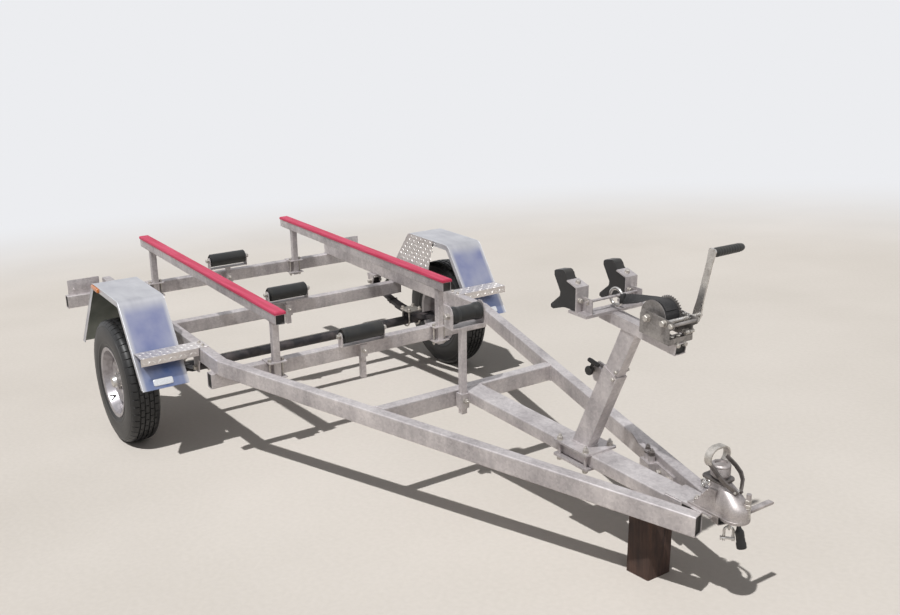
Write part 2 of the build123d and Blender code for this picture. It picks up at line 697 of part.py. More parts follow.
# Arm across the top of the post. On its rear lies a cross plate that carries the two brackets of
# the bow blocks, and two lugs with the rod that the strap hooks on to
BLOCK_Y = 116.0
BLOCK_W = 40.0
BLOCK_FRONT_X = 2476.0
BRACKET_W = 54.0
BRACKET_OUTLINE = [
    (2476, 1150), (2482, 1150), (2482, 1243.4), (2429.5, 1259.6), (2428, 1254.8), (2476, 1240),
]
CROSS_REAR_X = 2440.0
CROSS_LOW_Z = 1144.0
CROSS_TOP_Z = 1154.0
CROSS_FRONT_X = 2534.0
LUG_T = 4.0
LUG_TOP_Z = 1208.0
ROD_X = 2509.0
ROD_Z = 1195.0
ROD_R = 5.0
ROD_HALF = 124.0
arm_end = Plane(
    origin=(ARM_REAR_X, 0, ARM_LOW_Z), x_dir=(0, 1, 0), z_dir=(cos(drop), 0, -sin(drop)),
)
with BuildPart() as arm:
    with BuildSketch(arm_end):
        with Locations((0, ARM_H / 2)):
            Rectangle(ARM_W, ARM_H)
            Rectangle(ARM_W - 2 * WALL, ARM_H - 2 * WALL, mode=Mode.SUBTRACT)
    extrude(amount=ARM_LEN)
    with BuildSketch(Plane.XY.offset(CROSS_LOW_Z)):
        with Locations(((CROSS_REAR_X + CROSS_FRONT_X) / 2, 0)):
            Rectangle(CROSS_FRONT_X - CROSS_REAR_X, 2 * BLOCK_Y + BRACKET_W)
        with Locations((CROSS_REAR_X, 0)):
            Rectangle(2 * (BLOCK_FRONT_X - CROSS_REAR_X), 2 * BLOCK_Y - BRACKET_W, mode=Mode.SUBTRACT)
    extrude(amount=CROSS_TOP_Z - CROSS_LOW_Z)
    for middle in (-BLOCK_Y, BLOCK_Y):
        with BuildSketch(side_plane(middle + BRACKET_W / 2)):
            with BuildLine():
                Polyline(*BRACKET_OUTLINE, close=True)
            make_face()
        extrude(amount=BRACKET_W)
        with BuildSketch(side_plane(middle + LUG_T / 2)):
            with Locations(((BLOCK_FRONT_X + CROSS_FRONT_X) / 2 + 2, (CROSS_TOP_Z + LUG_TOP_Z) / 2)):
                Rectangle(CROSS_FRONT_X - BLOCK_FRONT_X - 4, LUG_TOP_Z - CROSS_TOP_Z)
        extrude(amount=LUG_T)
    with BuildSketch(side_plane(ROD_HALF)):
        with Locations((ROD_X, ROD_Z)):
            Circle(ROD_R)
    extrude(amount=2 * ROD_HALF)
save(arm.part, "winch_arm")

# Bow blocks: a pair of moulded rubber V blocks, seen from the side
BLOCK_OUTLINE = [
    (2476, 1156), (2410, 1156), (2345, 1134), (2333, 1147), (2393, 1198), (2350, 1269),
    (2356, 1281), (2398, 1289), (2411, 1283), (2424, 1256), (2476, 1240),
]
with BuildPart() as blocks:
    for y in (-BLOCK_Y, BLOCK_Y):
        with BuildSketch(side_plane(y + BLOCK_W / 2)) as outline:
            with BuildLine():
                Polyline(*BLOCK_OUTLINE, close=True)
            make_face()
            fillet(outline.vertices(), 4)
        extrude(amount=BLOCK_W)
save(blocks.part, "bow_blocks")

# Winch frame: two side plates, a foot on the arm between them and a tie rod at the front
FRAME_OUTLINE = [
    (2700, 1129), (2700, 1196), (2712, 1208), (2752, 1208), (2826, 1198), (2853, 1196),
    (2853, 1176), (2833, 1164), (2833, 1115),
]
SHAFT_R = 7.0
FOOT_REAR_X = 2778.0
FOOT_FRONT_X = 2833.0
TIE_X = 2844.0
TIE_Z = 1185.0
with BuildPart() as frame:
    for y in (-FRAME_Y, FRAME_Y + FRAME_T):
        with BuildSketch(side_plane(y)):
            with BuildLine():
                Polyline(*FRAME_OUTLINE, close=True)
            make_face()
            with Locations((CRANK_X, CRANK_Z)):
                Circle(SHAFT_R + FIT, mode=Mode.SUBTRACT)
        extrude(amount=FRAME_T)
    with BuildSketch(side_plane(FRAME_Y)):
        with BuildLine():
            Polyline(
                (FOOT_REAR_X, arm_top_z(FOOT_REAR_X)), (FOOT_FRONT_X, arm_top_z(FOOT_FRONT_X)),
                (FOOT_FRONT_X, arm_top_z(FOOT_FRONT_X) + FRAME_T),
                (FOOT_REAR_X, arm_top_z(FOOT_REAR_X) + FRAME_T), close=True,
            )
        make_face()
        with Locations((FOOT_FRONT_X - 1.5, arm_top_z(FOOT_FRONT_X) + 10.5)):
            Rectangle(3, 20)
        with Locations((TIE_X, TIE_Z)):
            Circle(6)
    extrude(amount=2 * FRAME_Y)
    # the bolt that the drum turns on
    with BuildSketch(side_plane(FRAME_Y + 12)):
        with Locations((DRUM_X, DRUM_Z)):
            Circle(DRUM_BOLT_R)
    extrude(amount=2 * FRAME_Y + 24)
save(frame.part, "winch_frame")


def gear_profile(teeth, centre, y, first_angle):
    """A spur gear's outline. Its teeth have straight sides, as on cheap pressed gears."""
    pitch_r = MODULE * teeth / 2
    half_tooth = 0.94 * pi / (2 * teeth)  # a little play between the teeth
    # angle from the tooth's middle, radius
    flank = [
        (-1.35 * half_tooth, pitch_r - 1.2 * MODULE), (-half_tooth, pitch_r),
        (-0.5 * half_tooth, pitch_r + MODULE), (0.5 * half_tooth, pitch_r + MODULE),
        (half_tooth, pitch_r), (1.35 * half_tooth, pitch_r - 1.2 * MODULE),
    ]
    with BuildSketch(side_plane(y)) as profile:
        with BuildLine():
            Polyline(*[
                (
                    centre[0] + radius * cos(first_angle + tooth * 2 * pi / teeth + angle),
                    centre[1] + radius * sin(first_angle + tooth * 2 * pi / teeth + angle),
                )
                for tooth in range(teeth) for angle, radius in flank
            ], close=True)
        make_face()
    return profile.sketch


# Drum: a core between a flange and the large gear, turning on its bolt
with BuildPart() as drum:
    extrude(gear_profile(GEAR_TEETH, (DRUM_X, DRUM_Z), GEAR_Y + GEAR_WIDTH, 0), amount=GEAR_WIDTH)
    for y, radius, width in (
        (GEAR_Y, CORE_R, GEAR_Y - FLANGE_Y), (FLANGE_Y, FLANGE_R, 2.5),
        (FRAME_Y - 2, 14, 2 * FRAME_Y - 4),
    ):
        with BuildSketch(side_plane(y)):
            with Locations((DRUM_X, DRUM_Z)):
                Circle(radius)
        extrude(amount=width)
    with BuildSketch(side_plane(FRAME_Y)):
        with Locations((DRUM_X, DRUM_Z)):
            Circle(DRUM_BOLT_R + FIT)
    extrude(amount=2 * FRAME_Y, mode=Mode.SUBTRACT)
save(drum.part, "winch_drum")

with BuildPart() as roll:
    with BuildSketch(side_plane(GEAR_Y)):
        with Locations((DRUM_X, DRUM_Z)):
            Circle(ROLL_R)
            Circle(CORE_R, mode=Mode.SUBTRACT)
    extrude(amount=GEAR_Y - FLANGE_Y)
save(roll.part, "strap_roll")

# Crank: shaft with the pinion, and a flat bar that carries the grip
crank_lean = radians(CRANK_LEAN)
along = (sin(crank_lean), cos(crank_lean))
across = (cos(crank_lean), -sin(crank_lean))
GRIP_X = CRANK_X + CRANK_LEN * along[0]
GRIP_Z = CRANK_Z + CRANK_LEN * along[1]
# distance along the bar from the shaft, half width there
BAR_OUTLINE = [(-14, 11), (-6, 17), (12, 17), (60, 13), (190, 12), (236, 15), (242, 9)]
with BuildPart() as crank:
    with BuildSketch(side_plane(CRANK_Y + BAR_T)):
        with Locations((CRANK_X, CRANK_Z)):
            Circle(SHAFT_R)
    extrude(amount=CRANK_Y + BAR_T + FRAME_Y + 12)
    pinion = gear_profile(
        PINION_TEETH, (CRANK_X, CRANK_Z), GEAR_Y + GEAR_WIDTH + 1, pi + pi / PINION_TEETH
    )
    extrude(pinion, amount=GEAR_WIDTH + 2)
    with BuildSketch(side_plane(CRANK_Y + BAR_T)):
        with BuildLine():
            Polyline(*[
                (
                    CRANK_X + length * along[0] + edge * half * across[0],
                    CRANK_Z + length * along[1] + edge * half * across[1],
                )
                for edge, points in ((-1, BAR_OUTLINE), (1, BAR_OUTLINE[::-1]))
                for length, half in points
            ], close=True)
        make_face()
    extrude(amount=BAR_T)
    with BuildSketch(side_plane(CRANK_Y + BAR_T + GRIP_LEN)):
        with Locations((GRIP_X, GRIP_Z)):
            Circle(5)
    extrude(amount=BAR_T + GRIP_LEN)
save(crank.part, "winch_crank")

# Grip, moulded round the crank's pin with a domed end
with BuildPart() as grip:
    with BuildSketch(Plane.XY.offset(GRIP_Z)):
        with BuildLine():
            start = CRANK_Y + BAR_T
            Polyline(*[(GRIP_X + radius, start + out) for radius, out in (
                (5, 0), (13, 0), (15, 4), (14, 80), (12.5, 128), (9, 142), (0, GRIP_LEN + 6),
                (0, GRIP_LEN), (5, GRIP_LEN),
            )], close=True)
        make_face()
    revolve(axis=Axis((GRIP_X, 0, GRIP_Z), (0, 1, 0)))
save(grip.part, "crank_grip")

# Strap from the top of the roll to the hook, twisting as it goes: distance from the hook's end,
# width, twist in degrees
STRAP_ENDS = ((2565.0, 1199.0), (2722.0, DRUM_Z + ROLL_R + 4))
STRAP_Y = (GEAR_Y + FLANGE_Y) / 2
STRAP_SECTIONS = [(0.0, 38.0, 50.0), (0.5, 46.0, 26.0), (1.0, 50.0, 0.0)]
STRAP_T = 3.0
rise = atan2(STRAP_ENDS[1][1] - STRAP_ENDS[0][1], STRAP_ENDS[1][0] - STRAP_ENDS[0][0])
with BuildPart() as strap:
    for share, width, twist in STRAP_SECTIONS:
        x = STRAP_ENDS[0][0] + share * (STRAP_ENDS[1][0] - STRAP_ENDS[0][0])
        z = STRAP_ENDS[0][1] + share * (STRAP_ENDS[1][1] - STRAP_ENDS[0][1])
        turn = radians(twist)
        with BuildSketch(Plane(
            origin=(x, STRAP_Y * share, z),
            x_dir=(sin(turn) * -sin(rise), cos(turn), sin(turn) * cos(rise)),
            z_dir=(cos(rise), 0, sin(rise)),
        )):
            Rectangle(width, STRAP_T)
    loft()
save(strap.part, "winch_strap")

# Ring that the strap's end is sewn to, over the rod of the arm
with BuildPart() as hook:
    with BuildSketch(side_plane(RING_T / 2)):
        with Locations((RING_X, RING_Z)):
            Circle(RING_OUTER)
            Circle(RING_INNER, mode=Mode.SUBTRACT)
    extrude(amount=RING_T)
save(hook.part, "strap_hook")

# Ball coupling: a cast body over the ball, on a flange that is bolted to the drawbar's tip plate
FLANGE_X = 3008.0
FLANGE_LEN = 124.0
FLANGE_W = 88.0
LIP_R = 48.0
LIP_T = 8.0
RIB_OUTLINE = [(2962, 604), (2996, 644), (3030, 686), (3058, 686), (3058, 604)]
RIB_T = 8.0
RIB_Y = 34.0                # inner face of each rib
STUD_R = 8.0
STUD_X = 3146.0
STUD_Y = 12.0
STUD_LEN = 92.0
BAR_X = 3116.0              # flat bar out to the left, under the stud
BAR_Y = 100.0
BAR_W = 22.0
BAR_LEN = 130.0
# Level sections of the casting, from the lip upwards: Z, middle X, length, width, corner radius
COUPLING_SECTIONS = [
    (604.0, 3075.0, 158.0, 84.0, 40.0), (640.0, 3076.0, 150.0, 80.0, 38.0),
    (668.0, 3066.0, 120.0, 68.0, 32.0), (692.0, 3050.0, 84.0, 52.0, 24.0),
    (708.0, 3040.0, 62.0, 44.0, 20.0),
]


def casting_sections():
    """Level sections of the coupling's cast body, from the lip upwards."""
    sections = []
    for z, x, length, width, corner in COUPLING_SECTIONS:
        with BuildSketch(Plane.XY.offset(z)) as section:
            with Locations((x, 0)):
                RectangleRounded(length, width, corner)
        sections.append(section.sketch)
    return sections


with BuildPart() as coupling:
    with BuildSketch(Plane.XY.offset(LIP_Z - 4)):
        with Locations((FLANGE_X, 0)):
            Rectangle(FLANGE_LEN, FLANGE_W)
        with Locations((BALL_X, 0)):
            Circle(LIP_R)
    extrude(amount=LIP_T)
    loft(casting_sections(), ruled=True)
    # a rib on each side, from the flange up to the latch's pivot
    for y in (-RIB_Y, RIB_Y + RIB_T):
        with BuildSketch(side_plane(y)):
            with BuildLine():
                Polyline(*RIB_OUTLINE, close=True)
            make_face()
        extrude(amount=RIB_T)
    # socket for the ball, open below
    with BuildSketch(side_plane(0)):
        with BuildLine():
            Polyline(
                (BALL_X, BALL_Z + BALL_R), (BALL_X, LIP_Z - 4), (BALL_X + BALL_R, LIP_Z - 4),
                (BALL_X + BALL_R, BALL_Z),
            )
            RadiusArc((BALL_X + BALL_R, BALL_Z), (BALL_X, BALL_Z + BALL_R), -BALL_R)
        make_face()
    revolve(axis=Axis((BALL_X, 0, 0), (0, 0, 1)), mode=Mode.SUBTRACT)
    # stud and nuts at the front, and the flat bar under them
    with BuildSketch(Plane.XY.offset(LIP_Z + 4)):
        with Locations((STUD_X, STUD_Y)):
            Circle(STUD_R)
    extrude(amount=STUD_LEN)
    with BuildSketch(Plane.XY.offset(LIP_Z + 6)):
        with Locations((BAR_X, BAR_Y)):
            Rectangle(BAR_W, BAR_LEN)
    extrude(amount=8)
save(coupling.part, "coupling_body")

# Latch on top of the coupling: side straps, a screwed collar and the loop that lifts it
LATCH_Z = 708.0             # where the collar's neck starts
NECK_R = 24.0
NECK_H = 14.0
COLLAR_R = 33.0
COLLAR_H = 44.0
LOOP_REAR_X = 3006.0
LOOP_WIDE = 28.0
LOOP_Z = 783.0
LOOP_HALF_Y = 48.0
LOOP_HALF_Z = 36.0
LOOP_T = 6.0
STRAP_Y_OUT = 14.0          # outer face of each side strap
SIDE_STRAP_T = 6.0
SIDE_STRAP_OUTLINE = [
    (2988, 700), (3010, 716), (3084, 700), (3100, 716), (3092, 770), (3066, 788),
    (3072, 798), (3104, 778), (3114, 716), (3122, 686), (3104, 680), (2990, 688),
]
with BuildPart() as latch:
    with BuildSketch(Plane.XY.offset(LATCH_Z)):
        with Locations((3038, 0)):
            Circle(NECK_R)
    extrude(amount=NECK_H)
    with BuildSketch(Plane.XY.offset(LATCH_Z + NECK_H)):
        with Locations((3036, 0)):
            Circle(COLLAR_R)
    extrude(amount=COLLAR_H)
    with BuildSketch(Plane.YZ.offset(LOOP_REAR_X)):
        with Locations((0, LOOP_Z)):
            SlotOverall(2 * LOOP_HALF_Y, 2 * LOOP_HALF_Z)
            SlotOverall(2 * (LOOP_HALF_Y - LOOP_T), 2 * (LOOP_HALF_Z - LOOP_T), mode=Mode.SUBTRACT)
    extrude(amount=LOOP_WIDE)
    for y in (SIDE_STRAP_T - STRAP_Y_OUT, STRAP_Y_OUT):
        with BuildSketch(side_plane(y)):
            with BuildLine():
                Polyline(*SIDE_STRAP_OUTLINE, close=True)
            make_face()
        extrude(amount=SIDE_STRAP_T)
    loft(casting_sections(), ruled=True, mode=Mode.SUBTRACT)
save(latch.part, "coupling_latch")

# Jockey wheel bracket on the inside of the left rail: a plate, a clamp block and its handle
BRACKET_X = 2600.0
BRACKET_Z = 494.0
BRACKET_H = 66.0
CLAMP_BLOCK = 42.0          # how far the block stands in from the rail
NUT_ALONG = (-14.0, 16.0)
NUT_R = 13.0
NUT_H = 26.0
HANDLE_Z = 96.0             # underside of the handle, over the bracket's foot
bracket_plane = Plane(
    origin=(*leg_point(1, BRACKET_X, -RAIL_W / 2), BRACKET_Z),
    x_dir=(cos(LEG_ANGLE), -sin(LEG_ANGLE), 0), z_dir=(0, 0, 1),
)
with BuildPart() as jockey:
    with BuildSketch(bracket_plane):
        with Locations((62, -5)):
            Rectangle(190, 10)
        with Locations((0, -CLAMP_BLOCK / 2)):
            Rectangle(68, CLAMP_BLOCK)
    extrude(amount=BRACKET_H)
    with BuildSketch(bracket_plane.offset(BRACKET_H)):
        with Locations(*[(along_rail, -CLAMP_BLOCK / 2) for along_rail in NUT_ALONG]):
            RegularPolygon(NUT_R, 6)
    extrude(amount=NUT_H)
    with BuildSketch(bracket_plane.offset(HANDLE_Z)):
        with Locations((-34, -CLAMP_BLOCK / 2)):
            Rectangle(64, 18)
    extrude(amount=8)
    with BuildSketch(bracket_plane.offset(BRACKET_H + NUT_H)):
        with Locations((NUT_ALONG[0], -CLAMP_BLOCK / 2)):
            Circle(7)
    extrude(amount=12)
save(jockey.part, "jockey_bracket")

# Safety chain: flat-sided links, each a quarter turn on from the last and leaning half of that
def link_outline(length, width):
    """An eight-sided link outline about the origin."""
    corner = width / 4
    Polyline(*[
        (sx * (length / 2 - (corner if first else 0)), sy * (width / 2 - (0 if first else corner)))
        for sx, sy, first in (
            (1, -1, False), (1, 1, False), (1, 1, True), (-1, 1, True),
            (-1, 1, False), (-1, -1, False), (-1, -1, True), (1, -1, True),
        )
    ], close=True)


with BuildLine():
    chain_run = FilletPolyline(*CHAIN_ROUTE, radius=CHAIN_BEND_R)
links = int(chain_run.length / LINK_PITCH) + 1
with BuildPart() as chain:
    for link in range(links):
        share = link * LINK_PITCH / chain_run.length
        heading = chain_run % share
        flat = heading.cross(Vector(0, 1, 0)).normalized()
        other = flat.cross(heading)
        normal = flat + other if link % 2 else flat - other
        with BuildSketch(Plane(origin=chain_run @ share, x_dir=heading, z_dir=normal)):
            with BuildLine():
                link_outline(LINK_LEN, LINK_W)
            make_face()
            with BuildLine():
                link_outline(LINK_LEN - 2 * LINK_T, LINK_W - 2 * LINK_T)
            make_face(mode=Mode.SUBTRACT)
        extrude(amount=LINK_T / 2, both=True)
save(chain.part, "safety_chain")

# Lead and plug of the lamps
lead_points = [(x, LEAD_Y, z) for x, z in LEAD_ROUTE]
lead_radii = []
for before, corner, after in zip(lead_points, lead_points[1:], lead_points[2:]):
    run_in = Vector(*corner) - Vector(*before)
    run_out = Vector(*after) - Vector(*corner)
    half_turn = radians(run_in.get_angle(run_out)) / 2
    lead_radii.append(0.45 * min(run_in.length, run_out.length) / tan(half_turn))
print("lead radii:", [round(radius, 1) for radius in lead_radii])
with BuildPart() as lead:
    with BuildLine():
        lead_run = FilletPolyline(*lead_points, radius=lead_radii)
    with BuildSketch(Plane(origin=lead_run @ 0, z_dir=lead_run % 0)):
        Circle(LEAD_R)
    sweep()
print("lead volume over section times length:",
      round(lead.part.volume / (pi * LEAD_R ** 2 * lead_run.length), 4))
save(lead.part, "plug_lead")

plug_axis = lead_run % 1
with BuildPart() as plug:
    with BuildSketch(Plane(
        origin=lead_points[-1], x_dir=(0, 1, 0), z_dir=plug_axis.cross(Vector(0, 1, 0)),
    )):
        with BuildLine():
            Polyline(*[(radius, -out) for radius, out in PLUG_OUTLINE], close=True)
        make_face()
    revolve(axis=Axis(lead_points[-1], plug_axis))
save(plug.part, "trailer_plug")
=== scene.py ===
"""Looks of a galvanised boat trailer, parked nose down on a timber block.

Lengths are metres in the level trailer's frame, as in the part's source: X forward from the axle,
Y to the left, Z up from the ground. settle() turns each new piece into the parked stance.
"""

from math import atan2, cos, pi, radians, sin, sqrt, tan

import bmesh
import bpy
from mathutils import Matrix, Vector


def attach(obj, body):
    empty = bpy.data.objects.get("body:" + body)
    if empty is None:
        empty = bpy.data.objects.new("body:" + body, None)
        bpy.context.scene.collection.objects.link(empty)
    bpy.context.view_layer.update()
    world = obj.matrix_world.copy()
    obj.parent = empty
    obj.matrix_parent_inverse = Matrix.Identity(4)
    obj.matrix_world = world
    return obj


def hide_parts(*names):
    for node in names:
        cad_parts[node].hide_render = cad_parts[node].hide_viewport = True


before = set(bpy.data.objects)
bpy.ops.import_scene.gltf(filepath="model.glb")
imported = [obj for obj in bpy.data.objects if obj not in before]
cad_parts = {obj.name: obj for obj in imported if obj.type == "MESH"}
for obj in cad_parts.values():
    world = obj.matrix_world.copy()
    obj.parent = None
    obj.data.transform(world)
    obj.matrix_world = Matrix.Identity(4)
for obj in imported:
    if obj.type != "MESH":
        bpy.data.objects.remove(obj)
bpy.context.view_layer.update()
scene = bpy.context.scene
scene.view_settings.view_transform = "Standard"


# Stance: the trailer stands on its wheels and, at the drawbar, on a timber block that is a little
# low, so the whole of it leans forward about the axle.
NOSE_DOWN = radians(4.7)
AXLE_X = -1.0194
AXLE_Z = 0.322
STANCE = (
    Matrix.Translation((AXLE_X, 0, AXLE_Z))
    @ Matrix.Rotation(NOSE_DOWN, 4, "Y")
    @ Matrix.Translation((0, 0, -AXLE_Z))
)


# Camera: a standing person's height, ahead of the coupling and to the right of it, looking back
# over the drawbar to the wheels.
EYE = Vector((5.011, -2.391, 2.215))
YAW = radians(55.749)
PITCH = radians(-17.174)
ROLL = radians(-0.534)
SENSOR_MM = 36
LENS_MM = 40.83
forward = Vector((-sin(YAW) * cos(PITCH), cos(YAW) * cos(PITCH), sin(PITCH)))
level_right = Vector((cos(YAW), sin(YAW), 0))
upright = level_right.cross(forward)
right = level_right * cos(ROLL) + upright * sin(ROLL)
up = upright * cos(ROLL) - level_right * sin(ROLL)
view = Matrix((right, up, -forward)).transposed().to_4x4()
view.translation = EYE
camera_data = bpy.data.cameras.new("view_camera")
camera_data.sensor_width = SENSOR_MM
camera_data.lens = LENS_MM
camera = bpy.data.objects.new("view_camera", camera_data)
camera.matrix_world = STANCE @ view
scene.collection.objects.link(camera)
scene.camera = camera


# Lead of the lamps, a thin black sheathed cable, and the moulded plug on its end. It leaves a clip
# on the left rail and hangs beside the coupling.
LEAD_ROUTE = [(2.983, 0.597), (3.018, 0.597), (3.046, 0.582), (3.056, 0.552), (3.062, 0.530)]
LEAD_Y = 0.078
LEAD_R = 0.0035
PLUG_PROFILE = [
    (0, 0.0005), (0.0055, 0.0005), (0.0060, 0.004), (0.0075, 0.008), (0.0080, 0.012), (0.0105, 0.017),
    (0.0135, 0.022), (0.0150, 0.026), (0.0150, 0.040), (0.0142, 0.042), (0.0142, 0.045), (0.0150, 0.047),
    (0.0150, 0.060), (0.0168, 0.063), (0.0168, 0.080), (0.0155, 0.0815), (0.0120, 0.0815), (0.0120, 0.068),
    (0, 0.068),
]


def srgb(red, green, blue):
    """A screen colour, 0 to 255, as the linear colour that a shader takes."""
    return tuple(
        (c / 12.92 if c <= 0.04045 else ((c + 0.055) / 1.055) ** 2.4)
        for c in (red / 255, green / 255, blue / 255)
    ) + (1.0,)


def place(point, direction, turn=0.0):
    """A matrix that stands local Z along a direction at a point."""
    toward = Vector(direction).to_track_quat("Z", "Y").to_matrix().to_4x4()
    return Matrix.Translation(point) @ toward @ Matrix.Rotation(turn, 4, "Z")


def circle(steps):
    """Angles once round a circle."""
    return [2 * pi * step / steps for step in range(steps)]


def turned(mesh, profile, spot, steps=48, closed=False):
    """Adds a turned shape. The profile holds a radius and a height along local Z."""
    rings = []
    for radius, height in profile:
        if radius < 1e-6:
            rings.append([mesh.verts.new(spot @ Vector((0, 0, height)))])
        else:
            rings.append([
                mesh.verts.new(spot @ Vector((radius * cos(a), radius * sin(a), height)))
                for a in circle(steps)
            ])
    pairs = list(zip(rings, rings[1:]))
    if closed:
        pairs.append((rings[-1], rings[0]))
    for low, high in pairs:
        for step in range(steps):
            turn = ((low, step), (low, step + 1), (high, step + 1), (high, step))
            corners = list(dict.fromkeys(ring[at % len(ring)] for ring, at in turn))
            if len(corners) > 2:
                mesh.faces.new(corners)


def settle(name, mesh, material, replaces=(), body="chassis", crease=35):
    """Makes an object of a finished mesh, in the parked stance and riding on its body."""
    bmesh.ops.recalc_face_normals(mesh, faces=mesh.faces)
    data = bpy.data.meshes.new(name)
    mesh.to_mesh(data)
    mesh.free()
    data.transform(STANCE)
    data.shade_smooth()
    data.set_sharp_from_angle(angle=radians(crease))
    data.materials.append(material)
    piece = bpy.data.objects.new(name, data)
    scene.collection.objects.link(piece)
    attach(piece, body)
    if replaces:
        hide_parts(*replaces)
    return piece


def add_node(tree, kind, settings=None, **inputs):
    """Adds a node. Settings are its own properties; inputs are values or sockets by name."""
    made = tree.nodes.new(kind)
    for key, value in (settings or {}).items():
        setattr(made, key, value)
    for key, value in inputs.items():
        socket = made.inputs[int(key[1:])] if key[0] == "i" and key[1:].isdigit() else made.inputs[key]
        if isinstance(value, bpy.types.NodeSocket):
            tree.links.new(value, socket)
        else:
            socket.default_value = value
    return made


def maths(tree, operation, first, second=0.0, third=0.0):
    """Adds a Math node and returns its value."""
    settings = {"operation": operation}
    return add_node(tree, "ShaderNodeMath", settings, i0=first, i1=second, i2=third).outputs[0]


def blend_colours(tree, amount, first, second):
    """Adds a colour mix and returns its colour."""
    return add_node(tree, "ShaderNodeMix", {"data_type": "RGBA"}, i0=amount, i6=first, i7=second).outputs[2]


def ramp(tree, value, low, high, change="LINEAR"):
    """A value stretched so that low and high become 0 and 1, and held there beyond them."""
    settings = {"interpolation_type": change}
    return add_node(tree, "ShaderNodeMapRange", settings, Value=value, i1=low, i2=high).outputs[0]


def noise_mask(tree, spot, scale, detail, low, high):
    """Noise at a scale, stretched so that low and high become 0 and 1."""
    noise = add_node(tree, "ShaderNodeTexNoise", Vector=spot, Scale=scale, Detail=detail)
    return ramp(tree, noise.outputs[0], low, high)


def object_spot(tree, output="Object"):
    """Where a point lies on the resting trailer, in metres, or with Normal which way it faces."""
    return add_node(tree, "ShaderNodeTexCoord").outputs[output]


def new_skin(name, **values):
    """A material with a Principled shader whose constant sockets are set."""
    material = bpy.data.materials.new(name)
    material.use_nodes = True
    shader = material.node_tree.nodes["Principled BSDF"]
    for key, value in values.items():
        shader.inputs[key.replace("_", " ")].default_value = value
    return material, material.node_tree, shader


def tint(tree, shader, mask, first, second):
    """Colours a skin from one screen colour to another by a mask."""
    tree.links.new(blend_colours(tree, mask, srgb(*first), srgb(*second)), shader.inputs["Base Color"])


def roughen(tree, shader, mask, change, base):
    """Sets a skin's roughness to the base, changed by so much where the mask is 1."""
    tree.links.new(maths(tree, "MULTIPLY_ADD", mask, change, base), shader.inputs["Roughness"])


def relief(tree, shader, height, distance, strength=0.6):
    """Feeds a height into the shader's normal. The distance is its depth in metres."""
    bump = add_node(tree, "ShaderNodeBump", Height=height, Distance=distance, Strength=strength)
    tree.links.new(bump.outputs[0], shader.inputs["Normal"])


def skin_group(name, outputs=("Color", "Roughness", "Height"), **inputs):
    """A node group with a skin's outputs. Returns it, what is given to it and what it puts out."""
    group = bpy.data.node_groups.new(name, "ShaderNodeTree")
    for label, default in inputs.items():
        kind = "NodeSocketColor" if isinstance(default, tuple) else "NodeSocketFloat"
        group.interface.new_socket(label, in_out="INPUT", socket_type=kind).default_value = default
    for label in outputs:
        kind = "NodeSocketColor" if label == "Color" else "NodeSocketFloat"
        group.interface.new_socket(label, in_out="OUTPUT", socket_type=kind)
    return group, group.nodes.new("NodeGroupInput").outputs, group.nodes.new("NodeGroupOutput").inputs


def grouped_skin(name, group, depth, strength, inputs, **values):
    """A skin whose colour and relief come from a node group, and its roughness where none is set."""
    material, tree, shader = new_skin(name, **values)
    made = add_node(tree, "ShaderNodeGroup", {"node_tree": group}, **inputs).outputs
    tree.links.new(made["Color"], shader.inputs["Base Color"])
    if "Roughness" not in values:
        tree.links.new(made["Roughness"], shader.inputs["Roughness"])
    relief(tree, shader, made["Height"], depth, strength)
    return material


def dress(material, *names):
    """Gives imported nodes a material."""
    for name in names:
        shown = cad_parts[name]
        if not shown.material_slots:
            shown.data.materials.append(material)
        for slot in shown.material_slots:
            slot.material = material


# moulded rubber and plastic share a skin: even, with dust that has settled in patches
moulded, given, result = skin_group(
    "moulded_skin", Base=(0.02, 0.02, 0.02, 1), Dust=(0.3, 0.27, 0.23, 1), Dustiness=0.2, Grain=900.0,
)
spot = object_spot(moulded)
patches = noise_mask(moulded, spot, 9.0, 6.0, 0.42, 0.72)
normal = add_node(moulded, "ShaderNodeNewGeometry").outputs["Normal"]
facing_up = add_node(moulded, "ShaderNodeSeparateXYZ", Vector=normal).outputs[2]
settled = maths(moulded, "MULTIPLY_ADD", maths(moulded, "MAXIMUM", facing_up, 0.0), 0.7, 0.3)
dust = maths(moulded, "MULTIPLY", maths(moulded, "MULTIPLY", patches, settled), given["Dustiness"])
grain = add_node(moulded, "ShaderNodeTexNoise", Vector=spot, Scale=given["Grain"], Detail=2.0)
moulded.links.new(blend_colours(moulded, dust, given["Base"], given["Dust"]), result["Color"])
moulded.links.new(maths(moulded, "MULTIPLY_ADD", dust, 0.8, 0.42), result["Roughness"])
moulded.links.new(grain.outputs[0], result["Height"])


def moulded_skin(name, base, dust=(120, 112, 100), dustiness=0.25, grain=900.0, depth=0.0002):
    """A black rubber or plastic."""
    inputs = {"Base": srgb(*base), "Dust": srgb(*dust), "Dustiness": dustiness, "Grain": grain}
    return grouped_skin(name, moulded, depth, 0.6, inputs, IOR=1.5)


cable_black = moulded_skin("cable_sheath", (34, 34, 35), dustiness=0.15)
plug_black = moulded_skin("plug_moulding", (30, 30, 31), dustiness=0.2)
lead_points = [Vector((x, LEAD_Y, z)) for x, z in LEAD_ROUTE]
route = [STANCE @ point for point in lead_points]
lead_data = bpy.data.curves.new("lamp_lead", "CURVE")
lead_data.dimensions = "3D"
lead_data.bevel_depth = LEAD_R
lead_data.bevel_resolution = 5
lead_data.use_fill_caps = True
spline = lead_data.splines.new("NURBS")
spline.points.add(len(route) - 1)
for point, where in zip(spline.points, route):
    point.co = (*where, 1)
spline.order_u = 3
spline.use_endpoint_u = True
spline.resolution_u = 16
lead_data.materials.append(cable_black)
lead = bpy.data.objects.new("lamp_lead", lead_data)
scene.collection.objects.link(lead)

